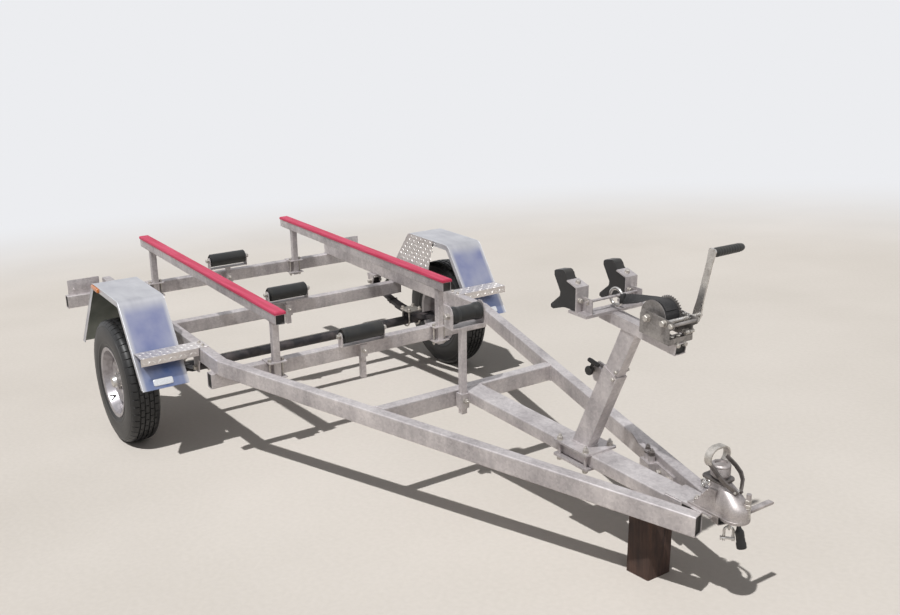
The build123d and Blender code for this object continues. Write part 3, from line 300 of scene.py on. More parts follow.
plug_mesh = bmesh.new()
turned(plug_mesh, PLUG_PROFILE, place(lead_points[-1], lead_points[-1] - lead_points[-2]), 32)
plug = settle("lamp_plug", plug_mesh, plug_black, ["trailer_plug"])
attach(lead, "chassis")
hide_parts("plug_lead")


# Yard floor: plain pale concrete that fades into a pale surround. The light is a soft high sun from
# the right and ahead, where it stood, with an even sky.
FLOOR_HALF = 90.0
NEAR_FADE = 5.0
FAR_FADE = 11.0
SUN_WAY = (0.298, -0.445, 1.0)
SUN_SPREAD = radians(1.1)
SUN_STRENGTH = 3.15
FILL_PLACE = (7.5, -2.0, 4.0)
FILL_WAY = (1.0, -0.2, 0.5)
FILL_SIZE = 5.0
FILL_WATTS = 35.0
SKY = srgb(236, 237, 240)
SKY_LIGHT = 0.20


def mixed(tree, first, share, second):
    """Two masks added up, the first with its share and the second with the rest."""
    return maths(tree, "MULTIPLY_ADD", first, share, maths(tree, "MULTIPLY", second, 1 - share))


def seen_directly(tree):
    """1 for what the camera sees, directly or through gloss and glass."""
    rays = add_node(tree, "ShaderNodeLightPath").outputs
    gloss = maths(tree, "MAXIMUM", rays["Is Glossy Ray"], rays["Is Transmission Ray"])
    return maths(tree, "MAXIMUM", rays["Is Camera Ray"], gloss)


def lit_from(data, point, way):
    """Sets a lamp at a point, shining down along a direction."""
    lamp = bpy.data.objects.new(data.name, data)
    lamp.matrix_world = place(point, way)
    scene.collection.objects.link(lamp)


floor_mesh = bmesh.new()
bmesh.ops.create_grid(floor_mesh, x_segments=8, y_segments=8, size=FLOOR_HALF)
floor_data = bpy.data.meshes.new("yard_floor")
floor_mesh.to_mesh(floor_data)
floor_mesh.free()
floor_skin, tree, shader = new_skin("pale_concrete", Roughness=0.9, Specular_IOR_Level=0.2)
spot = object_spot(tree)
broad = noise_mask(tree, spot, 0.6, 4.0, 0.3, 0.7)
fine = noise_mask(tree, spot, 45.0, 5.0, 0.3, 0.75)
tint(tree, shader, mixed(tree, fine, 0.35, broad), (206, 199, 190), (221, 214, 206))
relief(tree, shader, fine, 0.001, 0.3)
away = add_node(tree, "ShaderNodeVectorMath", {"operation": "LENGTH"}, i0=spot).outputs["Value"]
far_off = ramp(tree, away, NEAR_FADE, FAR_FADE, "SMOOTHSTEP")
pale = add_node(tree, "ShaderNodeEmission", Color=SKY, Strength=1.0)
faded = maths(tree, "MULTIPLY", far_off, seen_directly(tree))
ground = add_node(tree, "ShaderNodeMixShader", i0=faded, i1=shader.outputs[0], i2=pale.outputs[0])
tree.links.new(ground.outputs[0], tree.nodes["Material Output"].inputs["Surface"])
floor_data.materials.append(floor_skin)
floor = bpy.data.objects.new("yard_floor", floor_data)
scene.collection.objects.link(floor)

sun = bpy.data.lights.new("high_sun", "SUN")
sun.energy = SUN_STRENGTH
sun.angle = SUN_SPREAD
lit_from(sun, (0, 0, 6), SUN_WAY)
fill = bpy.data.lights.new("front_fill", "AREA")
fill.size = FILL_SIZE
fill.energy = FILL_WATTS
lit_from(fill, FILL_PLACE, FILL_WAY)

world = bpy.data.worlds.new("pale_sky")
world.use_nodes = True
scene.world = world
tree = world.node_tree
lit = tree.nodes["Background"]
lit.inputs["Color"].default_value = SKY
lit.inputs["Strength"].default_value = SKY_LIGHT
seen = add_node(tree, "ShaderNodeBackground", Color=SKY, Strength=1.0)
sky = add_node(tree, "ShaderNodeMixShader", i0=seen_directly(tree), i1=lit.outputs[0], i2=seen.outputs[0])
tree.links.new(sky.outputs[0], tree.nodes["World Output"].inputs["Surface"])


# Frame: rolled steel hollow section, sawn, welded up and then hot dip galvanised, so that every
# face has the same dull zinc with faint spangle, runs and cloudy patches.
SHADE_PLUG_GAP = 0.003
WELD_R = 0.0034
WELD_STEP = 0.0016
RAIL_W = 0.050
RAIL_H = 0.075
RAIL_TOP = 0.588
RAIL_LOW = 0.513
RAIL_MIDDLE = (RAIL_TOP + RAIL_LOW) / 2
RAIL_BORE = (RAIL_W - 0.0062, RAIL_H - 0.0062)
RAIL_Y = 0.753
RAIL_REAR_X = -1.092
BEND_X = 0.714
TIP_X = 3.015
TIP_Y = 0.062
LEG = atan2(RAIL_Y - TIP_Y, TIP_X - BEND_X)
MEMBER_ENDS = [(-1.075, 1.000), (-0.207, 0.780), (0.656, 0.800)]
NECK_REAR_X = 1.611
NECK_FRONT_X = 1.661
POLE_FRONT_X = 2.925
POLE_Z = 0.563
POLE_BORE = (0.0938, 0.0438)
POLE_CORNERS = [(-0.05, 0.588), (0.05, 0.588), (0.05, 0.538), (-0.05, 0.538)]
BUNK_Y = 0.475
BUNK_Z = 0.747
BUNK_FRONT_X = 0.775
BUNK_REAR_X = -1.172
BUNK_BORE = (0.0448, 0.0448)
POST_REAR_XS = (-1.050, 0.681)
POST_HALF = 0.0175
ARM_DROP = radians(6)
ARM_REAR = Vector((2.470, 0, 1.112))
ARM_WAY = Vector((cos(ARM_DROP), 0, -sin(ARM_DROP)))
ARM_UP = Vector((sin(ARM_DROP), 0, cos(ARM_DROP)))
ARM_LEN = 0.366
ARM_AXIS = 0.020
ARM_BORE = (0.0438, 0.0338)
POST_FOOT = (2.390, 0, 0.042, 0.026, 0.597)
POST_HEAD = (2.6195, 0, 0.0355, 0.020)
# X, distance out and Z of both ends of the straight welds: the nose plate, the cross plate, the winch
SIDE_WELDS = [
    ((2.850, 0.050, 0.590), (2.924, 0.0487, 0.590)), ((2.968, 0.0477, 0.590), (3.012, 0.0468, 0.590)),
    ((2.482, 0.118, 1.155), (2.533, 0.118, 1.155)), ((2.482, 0.114, 1.155), (2.533, 0.114, 1.155)),
    ((2.780, 0.051, 1.123), (2.832, 0.051, 1.118)),
]
# X and Y of each keel roller's stem, the height of its top and of the socket that clamps it
ROLLER_STEMS = [
    (-1.030, 0, 0.544, 0.510), (-0.162, 0, 0.527, 0.510), (0.701, 0, 0.517, 0.510),
    (1.693, -0.070, 0.878, 0.583),
]

zinc, given, result = skin_group(
    "zinc_skin", Dark=(0.2, 0.2, 0.2, 1), Light=(0.6, 0.6, 0.6, 1), Spangle=110.0, Clouds=5.0,
)
spot = object_spot(zinc)
clouds = add_node(zinc, "ShaderNodeTexNoise", Vector=spot, Scale=given["Clouds"], Detail=5.0).outputs[0]
flakes = add_node(zinc, "ShaderNodeTexVoronoi", Vector=spot, Scale=given["Spangle"])
flake_tone = add_node(zinc, "ShaderNodeSeparateColor", Color=flakes.outputs["Color"]).outputs[0]


def stretched(tree, spot, scale):
    """Places in a texture that is drawn out along some axes."""
    return add_node(tree, "ShaderNodeMapping", Vector=spot, Scale=scale).outputs[0]


hung = stretched(zinc, spot, (30.0, 30.0, 4.0))
runs = add_node(zinc, "ShaderNodeTexNoise", Vector=hung, Scale=1.0, Detail=3.0).outputs[0]
tone = maths(
    zinc, "ADD", maths(zinc, "MULTIPLY", clouds, 0.8),
    maths(zinc, "MULTIPLY_ADD", flake_tone, 0.12, maths(zinc, "MULTIPLY", runs, 0.3)),
)
tone = ramp(zinc, tone, 0.41, 0.88)
zinc.links.new(blend_colours(zinc, tone, given["Dark"], given["Light"]), result["Color"])
zinc.links.new(maths(zinc, "MULTIPLY_ADD", tone, -0.18, 0.60), result["Roughness"])
zinc.links.new(maths(zinc, "MULTIPLY_ADD", flake_tone, 0.3, clouds), result["Height"])


def zinc_skin(name, dark, light, metallic=0.55, spangle=110.0, clouds=5.0, depth=0.0006):
    """A zinc coat over steel, between two tones."""
    inputs = {"Dark": srgb(*dark), "Light": srgb(*light), "Spangle": spangle, "Clouds": clouds}
    return grouped_skin(name, zinc, depth, 0.25, inputs, Metallic=metallic)


def joined(mesh, rings, closed=False):
    """Skins rings of as many points each, and closes the last on the first or caps both ends."""
    pairs = list(zip(rings, rings[1:]))
    if closed:
        pairs.append((rings[-1], rings[0]))
    for low, high in pairs:
        for index in range(len(low)):
            after = (index + 1) % len(low)
            mesh.faces.new((low[index], low[after], high[after], high[index]))
    if not closed:
        mesh.faces.new(rings[0][::-1])
        mesh.faces.new(rings[-1])


def rounded_outline(width, height, corner, steps=4):
    """Points round a rectangle with rounded corners."""
    points = []
    for quarter, (sx, sy) in enumerate(((1, 1), (-1, 1), (-1, -1), (1, -1))):
        for step in range(steps + 1):
            a = pi / 2 * (quarter + step / steps)
            points.append((
                sx * (width / 2 - corner) + corner * cos(a), sy * (height / 2 - corner) + corner * sin(a),
            ))
    return points


def stacked(mesh, width, height, corner, levels, spot):
    """Adds a rounded block in levels, each set in from the outline and at a height along local Z."""
    joined(mesh, [
        [
            mesh.verts.new(spot @ Vector((x, y, rise)))
            for x, y in rounded_outline(width - 2 * inset, height - 2 * inset, corner)
        ] for inset, rise in levels
    ])


def shade_plug(mesh, point, way, bore):
    """Adds a black plug in a tube's open end, as painted shade for the dark inside of the tube. Its face has
    a rim and dishes inwards.
    """
    stacked(mesh, *bore, 0.004, [
        (0, -0.014), (0, -SHADE_PLUG_GAP), (0.0012, -SHADE_PLUG_GAP + 0.001), (0.004, -SHADE_PLUG_GAP + 0.001),
        (0.0055, -SHADE_PLUG_GAP - 0.002), (0.008, -SHADE_PLUG_GAP - 0.003),
    ], place(point, way))


def bar(mesh, points, radius, sides=10, closed=False):
    """Adds a round bar along points. The radius is one value, or one for each point."""
    points = [Vector(point) for point in points]
    count = len(points)
    sizes = radius if isinstance(radius, list) else [radius] * count
    normal = None
    rings = []
    for index, point in enumerate(points):
        before = points[index - 1] if index or closed else point
        after = points[(index + 1) % count] if index + 1 < count or closed else point
        way = (after - before).normalized()
        if normal is None:
            normal = way.orthogonal()
        normal = (normal - way * normal.dot(way)).normalized()
        sideways = way.cross(normal)
        rings.append([
            mesh.verts.new(point + sizes[index] * (cos(a) * normal + sin(a) * sideways))
            for a in circle(sides)
        ])
    joined(mesh, rings, closed)


def weld(mesh, *corners, closed=True):
    """Adds a rippled weld bead from corner to corner."""
    ends = [Vector(corner) for corner in corners]
    pairs = list(zip(ends, ends[1:]))
    if closed:
        pairs.append((ends[-1], ends[0]))
    points = []
    for start, end in pairs:
        count = max(3, round((end - start).length / WELD_STEP))
        points += [start.lerp(end, step / count) for step in range(count)]
    if not closed:
        points.append(ends[-1])
    ripple = [0.86 + 0.1 * sin(1.9 * step) + 0.06 * sin(0.31 * step) for step in range(len(points))]
    bar(mesh, points, [WELD_R * swell for swell in ripple], 6, closed)


def weld_round(mesh, x, y, half_x, half_y, height):
    """Adds a weld round a tube that stands on something. The height is one value, or depends on X."""
    corners = [(x + sx * half_x, y + sy * half_y) for sx, sy in ((-1, -1), (1, -1), (1, 1), (-1, 1))]
    weld(mesh, *[(u, v, height(u) if callable(height) else height) for u, v in corners])


def leg_edge(side, x, out):
    """A point beside a rail's angled front leg, at X, out from its middle."""
    return x, side * (RAIL_Y - (x - BEND_X) * tan(LEG) + out / cos(LEG))


def arm_low_z(x):
    """Height of the underside of the winch arm at X."""
    return ARM_REAR.z - (x - ARM_REAR.x) * tan(ARM_DROP)


galvanised = zinc_skin("dull_galvanised", (161, 155, 156), (222, 216, 215))
dress(
    galvanised, "rail_right", "rail_left", "cross_member_rear", "cross_member_middle", "cross_member_front",
    "cross_member_neck", "drawbar_pole", "bunks", "bunk_posts", "spring_hangers", "roller_brackets",
    "winch_post_outer", "winch_post_inner", "winch_arm", "jockey_bracket",
)
# painted shade: black plugs fill the open ends of the tubes and stand in for the dark inside them. The same
# black skin is also the real black plastic of the lamp bases, valves and knob.
black_plastic_and_shade = moulded_skin("black_plastic_and_tube_shade", (24, 23, 23), dustiness=0.3)
shade_plugs = bmesh.new()
welds = bmesh.new()
for side in (-1, 1):
    shade_plug(shade_plugs, (TIP_X, side * TIP_Y, RAIL_MIDDLE), (cos(LEG), -side * sin(LEG), 0), RAIL_BORE)
    shade_plug(shade_plugs, (RAIL_REAR_X, side * RAIL_Y, RAIL_MIDDLE), (-1, 0, 0), RAIL_BORE)
    shade_plug(shade_plugs, (BUNK_FRONT_X, side * BUNK_Y, BUNK_Z), (1, 0, 0), BUNK_BORE)
    shade_plug(shade_plugs, (BUNK_REAR_X, side * BUNK_Y, BUNK_Z), (-1, 0, 0), BUNK_BORE)
    for x, half in MEMBER_ENDS:
        shade_plug(shade_plugs, (x, side * half, RAIL_LOW - RAIL_H / 2), (0, side, 0), RAIL_BORE)
        weld_round(welds, x, side * RAIL_Y, RAIL_W / 2, side * RAIL_W / 2, RAIL_LOW - 0.001)
    rear = leg_edge(side, NECK_REAR_X, -RAIL_W / 2)
    front = leg_edge(side, NECK_FRONT_X, -RAIL_W / 2)
    weld(welds, (*rear, RAIL_TOP), (*front, RAIL_TOP), (*front, RAIL_LOW), (*rear, RAIL_LOW))
    for ends in SIDE_WELDS:
        weld(welds, *[(x, side * out, z) for x, out, z in ends], closed=False)
    for rear_x in POST_REAR_XS:
        weld_round(welds, rear_x + POST_HALF, side * BUNK_Y, POST_HALF, POST_HALF, 0.721)
shade_plug(shade_plugs, ARM_REAR + ARM_WAY * ARM_LEN + ARM_UP * ARM_AXIS, ARM_WAY, ARM_BORE)
shade_plug(shade_plugs, ARM_REAR + ARM_UP * ARM_AXIS, -ARM_WAY, ARM_BORE)
shade_plug(shade_plugs, (POLE_FRONT_X, 0, POLE_Z), (1, 0, 0), POLE_BORE)
settle("tube_end_shade_plugs", shade_plugs, black_plastic_and_shade)

plate_x, plate_out, plate_z = SIDE_WELDS[0][0]
weld(welds, (plate_x, plate_out, plate_z), (plate_x, -plate_out, plate_z), closed=False)
weld(welds, *[(NECK_FRONT_X + 0.001, y, z) for y, z in POLE_CORNERS])
weld_round(welds, *POST_FOOT)
weld_round(welds, *POST_HEAD, arm_low_z)
for x, y, seat_z, _ in ROLLER_STEMS:
    weld_round(welds, x, y, 0.013, 0.013, seat_z)
settle("frame_welds", welds, galvanised, crease=60)


# Fasteners: zinc plated hexagon bolts and nuts with plain washers, brighter than the dipped frame.
# Bunk clamps and roller stems are held by them, each group set down as one piece.
CLAMP_TOP_Z = 0.518
CLAMP_LOW_Z = 0.433
CLAMP_HALF = 0.033
CLAMP_AHEAD = 0.014
bolt_zinc = zinc_skin("bolt_zinc", (158, 153, 147), (216, 211, 204), 0.8, 300.0, 60.0, 0.0001)


def fastener(mesh, point, way, across, stud=0.0, turn=0.3, washer=True):
    """Adds a bolt's head along a direction, or a nut where a length of stud stands out of it."""
    spot = place(point, way, turn)
    seat = 0.11 * across if washer else 0.0
    edge = 0.02 * across
    if washer:
        wide = 0.66 * across
        rim = [(wide - edge, 0), (wide, edge), (wide, seat - edge), (wide - edge, seat)]
        turned(mesh, [(0, 0), *rim, (0, seat)], spot, 20)
    corner = across / sqrt(3)
    top = seat + 0.66 * across
    turned(mesh, [
        (0, seat * 0.9), (corner * 0.96, seat * 0.9), (corner, seat + 2 * edge), (corner, top - 4 * edge),
        (corner * 0.86, top), (corner * 0.5, top), (0, top - 0.03 * across),
    ], spot, 6)
    if stud:
        shank = 0.29 * across
        rings = 2 * max(2, round(stud / (0.088 * across)))
        thread = []
        for step in range(rings):
            thread.append((shank * (0.9 if step % 2 else 1.0), top - edge + stud * step / rings))
        turned(mesh, [(0, thread[0][1]), *thread, (0.8 * shank, top + stud), (0, top + stud)], spot, 14)


bolts = bmesh.new()
for side in (-1, 1):
    for rear_x in POST_REAR_XS:
        for step in (-CLAMP_HALF, CLAMP_HALF):
            x = rear_x + CLAMP_AHEAD
            y = side * BUNK_Y + step
            fastener(bolts, (x, y, CLAMP_TOP_Z), (0, 0, 1), 0.017, turn=step * 20)
            fastener(bolts, (x, y, CLAMP_LOW_Z), (0, 0, -1), 0.017, 0.008, turn=0.8)
            bar(bolts, [(x, y, CLAMP_LOW_Z + 0.001), (x, y, CLAMP_TOP_Z - 0.001)], 0.005, 12)
for x, y, _, socket_z in ROLLER_STEMS:
    fastener(bolts, (x + 0.020, y, socket_z - 0.030), (1, 0, 0), 0.019, 0.010, turn=0.2)
settle("clamp_bolts", bolts, bolt_zinc)


# Bunk skids: a strip of red moulded plastic over each bunk tube, rounded along its top edges,
# matt from the weather and a little paler where the hull has rubbed it.
skid_red, tree, shader = new_skin("red_skid_strip", Roughness=0.55, IOR=1.45)
spot = object_spot(tree)
rubbed = noise_mask(tree, stretched(tree, spot, (1.6, 50.0, 50.0)), 1.0, 5.0, 0.35, 0.75)
speckle = noise_mask(tree, spot, 260.0, 3.0, 0.35, 0.75)
worn = mixed(tree, speckle, 0.3, rubbed)
tint(tree, shader, worn, (182, 36, 70), (216, 84, 116))
relief(tree, shader, worn, 0.0006, 0.4)
dress(skid_red, "bunk_skid_right", "bunk_skid_left")


# Keel rollers: moulded black rubber that turns on a steel pin. The pin's ends carry nuts outside the
# cheeks of a bracket bent from strip.
ROLLER_PINS = [
    (-1.030, 0.0, 0.600, 0.232), (-0.162, 0.0, 0.583, 0.232), (0.701, 0.0, 0.573, 0.232),
    (1.681, -0.050, 0.932, 0.150),
]
roller_rubber = moulded_skin("roller_rubber", (30, 31, 31), dustiness=0.22, grain=500.0)
dress(roller_rubber, "keel_roller_rear", "keel_roller_middle", "keel_roller_front", "keel_roller_bow")
bolts = bmesh.new()
for x, y, z, length in ROLLER_PINS:
    for side in (-1, 1):
        fastener(bolts, (x, y + side * (length / 2 + 0.008), z), (0, side, 0), 0.0225)
settle("roller_pin_nuts", bolts, bolt_zinc)


# Mudguards: smooth zinc sheet folded over the wheel, with a turned-in lip. Each carries an amber side
# marker on its outer lip and a round-ended white reflector low on its front.
GUARD_CORNERS = [(-0.505, 0.405), (-0.188, 0.805), (0.238, 0.805), (0.506, 0.430)]
GUARD_BEND_R = 0.045
GUARD_IN_Y = 0.845
GUARD_OUT_Y = 1.070
GUARD_MIDDLE_Y = (GUARD_IN_Y + GUARD_OUT_Y) / 2
GUARD_T = 0.002
RIVETS = [(-0.44, 0.478), (-0.35, 0.590), (-0.26, 0.704)]
RIVET_PROFILE = [(0.0045, 0), (0.0043, 0.001), (0.0030, 0.0022), (0, 0.0026)]
# X, distance out, Z and turn of the bolts through the ledge and the step
GUARD_BOLTS = [
    (-0.300, 0.800, 0.548, 0.3), (-0.080, 0.800, 0.548, 0.3), (0.424, 0.752, 0.591, 0.7),
    (0.474, 0.752, 0.591, 0.7),
]
MARKER_X = -0.126
MARKER_Z = 0.790
MARKER_SIZE = (0.112, 0.021, 0.005)
MARKER_LEVELS = [(0, 0), (0, 0.006), (0.001, 0.009), (0.004, 0.0105)]
REFLECTOR = Vector((0.4895, 0.966, 0.4575))
REFLECTOR_SIZE = (0.095, 0.034, 0.007)
REFLECTOR_LEVELS = [(0, 0), (0, 0.003), (0.0014, 0.0048), (0.0045, 0.0054)]


def rounded_route(corners, radius, steps=7):
    """Points along straight runs whose corners are rounded with a radius."""
    ends = [Vector(corner) for corner in corners]
    points = [ends[0]]
    for before, corner, after in zip(ends, ends[1:], ends[2:]):
        way_in = (corner - before).normalized()
        way_out = (after - corner).normalized()
        bend = way_in.angle(way_out)
        inward = (way_out - way_in * cos(bend)) / sin(bend)
        centre = corner - way_in * radius * tan(bend / 2) + inward * radius
        for step in range(steps + 1):
            a = bend * step / steps
            points.append(centre + radius * (way_in * sin(a) - inward * cos(a)))
    return points + [ends[-1]]


def plate(mesh, outline, thick, spot, edge=0.0005, segments=2):
    """Adds a flat plate with broken edges. Its outline lies in the spot's XY plane."""
    low = [mesh.verts.new(spot @ Vector((x, y, 0))) for x, y in outline]
    high = [mesh.verts.new(spot @ Vector((x, y, thick))) for x, y in outline]
    faces = [mesh.faces.new(low[::-1]), mesh.faces.new(high)]
    for index in range(len(low)):
        after = (index + 1) % len(low)
        faces.append(mesh.faces.new((low[index], low[after], high[after], high[index])))
    edges = list({rim for face in faces for rim in face.edges})
    bmesh.ops.bevel(mesh, geom=edges, offset=edge, segments=segments, affect="EDGES", profile=0.5)


def facing(origin, x_way, y_way):
    """A matrix at a point with its local X and Y along two directions."""
    x_axis = Vector(x_way).normalized()
    z_axis = x_axis.cross(Vector(y_way)).normalized()
    turn = Matrix((x_axis, z_axis.cross(x_axis), z_axis)).transposed().to_4x4()
    return Matrix.Translation(origin) @ turn


def axes(tree, vector):
    """X, Y and Z of a vector."""
    return add_node(tree, "ShaderNodeSeparateXYZ", Vector=vector).outputs


# painted shade in grey green clouds, which covers an unshaded colour where the mask is 1
painted_shade, given, result = skin_group(
    "painted_shade", ("Color",), Clean=(0.6, 0.6, 0.6, 1), Mask=0.0, Clouds=0.5,
)
shade_tone = blend_colours(painted_shade, given["Clouds"], srgb(98, 104, 98), srgb(134, 138, 131))
painted_shade.links.new(blend_colours(painted_shade, given["Mask"], given["Clean"], shade_tone), result["Color"])


def with_painted_shade(tree, shader, clean, mask, clouds):
    """Colours a skin in its unshaded colour, with painted shade where the mask is 1."""
    inputs = {"Clean": clean, "Mask": mask, "Clouds": clouds}
    made = add_node(tree, "ShaderNodeGroup", {"node_tree": painted_shade}, **inputs)
    tree.links.new(made.outputs["Color"], shader.inputs["Base Color"])


guard_zinc, tree, shader = new_skin("guard_sheet", Metallic=0.68)
spot = object_spot(tree)
x, y, z = axes(tree, spot)
clouds = noise_mask(tree, spot, 7.0, 4.0, 0.30, 0.70)
off_middle = maths(tree, "ABSOLUTE", maths(tree, "SUBTRACT", maths(tree, "ABSOLUTE", y), GUARD_MIDDLE_Y))
inner = ramp(tree, off_middle, 0.110, 0.088, "SMOOTHSTEP")
# painted reflection of the sky: a blue over the middle of the sloped panels below the top, darker towards
# the bottom, where it is painted shade as well
front = maths(
    tree, "MULTIPLY", ramp(tree, x, -0.80, -0.72, "SMOOTHSTEP"), ramp(tree, z, 0.780, 0.715, "SMOOTHSTEP"),
)
cloudy = maths(tree, "MULTIPLY_ADD", clouds, 0.50, 0.50)
sky_reflection = maths(tree, "MULTIPLY", maths(tree, "MULTIPLY", front, inner), cloudy)
blue = blend_colours(tree, ramp(tree, z, 0.60, 0.50, "SMOOTHSTEP"), srgb(132, 138, 174), srgb(84, 104, 152))
smears = noise_mask(tree, stretched(tree, spot, (6.0, 26.0, 6.0)), 1.0, 3.0, 0.25, 0.80)
worn = mixed(tree, smears, 0.4, clouds)
sheet = blend_colours(tree, worn, srgb(180, 180, 186), srgb(214, 214, 217))
# painted shade on the faces that turn downwards, under the fold of the sheet
shade_mask = ramp(tree, axes(tree, object_spot(tree, "Normal"))[2], -0.25, -0.45, "SMOOTHSTEP")
with_painted_shade(tree, shader, blend_colours(tree, sky_reflection, sheet, blue), shade_mask, clouds)
roughen(tree, shader, worn, -0.14, 0.46)
relief(tree, shader, clouds, 0.0012, 0.2)
dress(guard_zinc, "mudguards")

edge_zinc = zinc_skin("guard_edge", (196, 198, 202), (226, 227, 230), 0.7, 60.0, 9.0, 0.0001)


# the small prisms that are moulded into a lens
facets, given, result = skin_group(
    "lens_facets", ("Color", "Height"), Middle=(0.8, 0.3, 0.1, 1), Edge=(0.5, 0.2, 0.1, 1), Scale=400.0,
)
prisms = add_node(facets, "ShaderNodeTexVoronoi", Vector=object_spot(facets), Scale=given["Scale"])
facets.links.new(
    blend_colours(facets, prisms.outputs["Distance"], given["Middle"], given["Edge"]), result["Color"],
)
facets.links.new(prisms.outputs["Distance"], result["Height"])
amber = grouped_skin(
    "amber_lens", facets, 0.0008, 0.7,
    {"Middle": srgb(226, 138, 48), "Edge": srgb(176, 84, 22), "Scale": 420.0},
    Roughness=0.2, Coat_Weight=0.4,
)
white_lens = grouped_skin(
    "white_reflector", facets, 0.0006, 0.6,
    {"Middle": srgb(236, 238, 240), "Edge": srgb(196, 200, 206), "Scale": 300.0},
    Roughness=0.15, Coat_Weight=0.5,
)
guard_run = rounded_route(GUARD_CORNERS, GUARD_BEND_R)
(top_x, top_z), (foot_x, foot_z) = GUARD_CORNERS[2:]
slope = Vector((foot_x - top_x, 0, foot_z - top_z))
trims = bmesh.new()
markers = bmesh.new()
reflectors = bmesh.new()
rivets = bmesh.new()
for side in (-1, 1):
    for y, radius in ((GUARD_OUT_Y, 0.0021), (GUARD_IN_Y, 0.0016)):
        bar(trims, [(x, side * y, z + 0.0008) for x, z in guard_run], radius, 8)
    outward = facing((MARKER_X, side * (GUARD_OUT_Y + 0.0002), MARKER_Z), (1, 0, 0), (0, 0, -side))
    stacked(markers, *MARKER_SIZE, MARKER_LEVELS, outward)
    forwards = facing((REFLECTOR.x, side * REFLECTOR.y, REFLECTOR.z), (0, 1, 0), -slope)
    stacked(reflectors, *REFLECTOR_SIZE, REFLECTOR_LEVELS, forwards)
    for x, z in RIVETS:
        turned(rivets, RIVET_PROFILE, place((x, side * (GUARD_IN_Y - GUARD_T), z), (0, -side, 0)), 16)
    for x, out, z, turn in GUARD_BOLTS:
        fastener(rivets, (x, side * out, z), (0, 0, 1), 0.013, turn=turn)
settle("guard_edge_trims", trims, edge_zinc)
settle("side_markers", markers, amber)
settle("guard_reflectors", reflectors, white_lens)
settle("guard_fixings", rivets, bolt_zinc)


# Tread plate: the guards' inner sides and the steps ahead of the wheels are bright aluminium plate
# with short raised bars, each set square to the next.
TREAD_PITCH = 0.0255
TREAD_LONG = 0.0235
TREAD_WIDE = 0.0075
TREAD_HIGH = 0.0013
BAR_SECTION = [
    (0.5, 0), (0.3, 0.36), (0, 0.5), (-0.3, 0.36), (-0.5, 0), (-0.3, -0.36), (0, -0.5), (0.3, -0.36),
]
STEP_X = (0.399, 0.499)
STEP_Y = 0.898
STEP_Z = 0.591
STEP_HALF = 0.168
STEP_LIP = [(-0.141, -0.036), (0.141, -0.036), (0.141, 0.0), (-0.141, 0.0)]
STEP_LIP_PLACE = (0.500, 0.925, 0.590)
SIDE_PLATE_X = 0.135
SIDE_PLATE_LOW_Z = 0.55
SIDE_PLATE_REST = [(0.128, 0.803), (0.015, 0.549), (-0.391, 0.549)]

tread_metal, tree, shader = new_skin("tread_plate_aluminium", Metallic=0.75)
spot = object_spot(tree)
clouds = noise_mask(tree, spot, 9.0, 5.0, 0.3, 0.7)
scuffs = noise_mask(tree, spot, 120.0, 4.0, 0.4, 0.75)
# painted shade on the faces of the plate that turn out towards the wheel
away = maths(tree, "SIGN", axes(tree, spot)[1])
outwards = maths(tree, "MULTIPLY", axes(tree, object_spot(tree, "Normal"))[1], away)
shade_mask = ramp(tree, outwards, 0.4, 0.8, "SMOOTHSTEP")
plate_tone = blend_colours(tree, mixed(tree, scuffs, 0.4, clouds), srgb(203, 197, 195), srgb(230, 225, 222))
with_painted_shade(tree, shader, plate_tone, shade_mask, clouds)
roughen(tree, shader, scuffs, 0.16, 0.34)
relief(tree, shader, scuffs, 0.0002, 0.4)
dress(tread_metal, "steps", "guard_plates")
# bare patches in a skin, such as rub, wear or grime, in another tone
patches, given, result = skin_group(
    "patches", Scale=20.0, Detail=4.0, Low=0.4, High=0.8, First=(0.2, 0.2, 0.2, 1),
    Second=(0.4, 0.4, 0.4, 1), Change=0.3, Base=0.3,
)
spread = [given[key] for key in ("Scale", "Detail", "Low", "High")]
mask = noise_mask(patches, object_spot(patches), *spread)
patches.links.new(blend_colours(patches, mask, given["First"], given["Second"]), result["Color"])
patches.links.new(maths(patches, "MULTIPLY_ADD", mask, given["Change"], given["Base"]), result["Roughness"])
patches.links.new(mask, result["Height"])


def patchy_skin(name, size, first, second, depth, strength, rough=(0.0, 0.0), **values):
    """A skin in patches of two tones. The second one is rougher by so much than the base."""
    inputs = dict(zip(("Scale", "Detail", "Low", "High"), size), Change=rough[0], Base=rough[1])
    inputs.update(First=srgb(*first), Second=srgb(*second))
    return grouped_skin(name, patches, depth, strength, inputs, **values)


bar_metal = patchy_skin(
    "tread_bar_aluminium", (90.0, 4.0, 0.35, 0.7), (220, 217, 214), (244, 242, 240), 0.0002, 0.3,
    Metallic=0.8, Roughness=0.3,
)


def within(outline, x, y):
    """Whether a point lies inside a closed outline."""
    inside = False
    for (x1, y1), (x2, y2) in zip(outline, outline[1:] + outline[:1]):
        if (y1 > y) != (y2 > y) and x < (x2 - x1) * (y - y1) / (y2 - y1) + x1:
            inside = not inside
    return inside


def tread_bars(mesh, outline, spot):
    """Fills an outline with raised bars that lie alternately one way and the other."""
    xs, ys = zip(*outline)
    reach = 0.45 * TREAD_LONG
    for row in range(int((max(ys) - min(ys)) / TREAD_PITCH) + 1):
        for column in range(int((max(xs) - min(xs)) / TREAD_PITCH) + 1):
            x = min(xs) + (column + 0.5) * TREAD_PITCH
            y = min(ys) + (row + 0.5) * TREAD_PITCH
            if not all(within(outline, x + dx, y + dy) for dx in (-reach, reach) for dy in (-reach, reach)):
                continue
            lean = Matrix.Rotation(radians(45 if (row + column) % 2 else -45), 4, "Z")
            where = spot @ Matrix.Translation((x, y, 0)) @ lean
            joined(mesh, [
                [
                    mesh.verts.new(where @ Vector((
                        u * TREAD_LONG * (0.65 + 0.35 * share), v * TREAD_WIDE * share, height * TREAD_HIGH,
                    ))) for u, v in BAR_SECTION
                ] for share, height in ((1.0, 0.0), (0.86, 0.7), (0.55, 1.0))
            ])


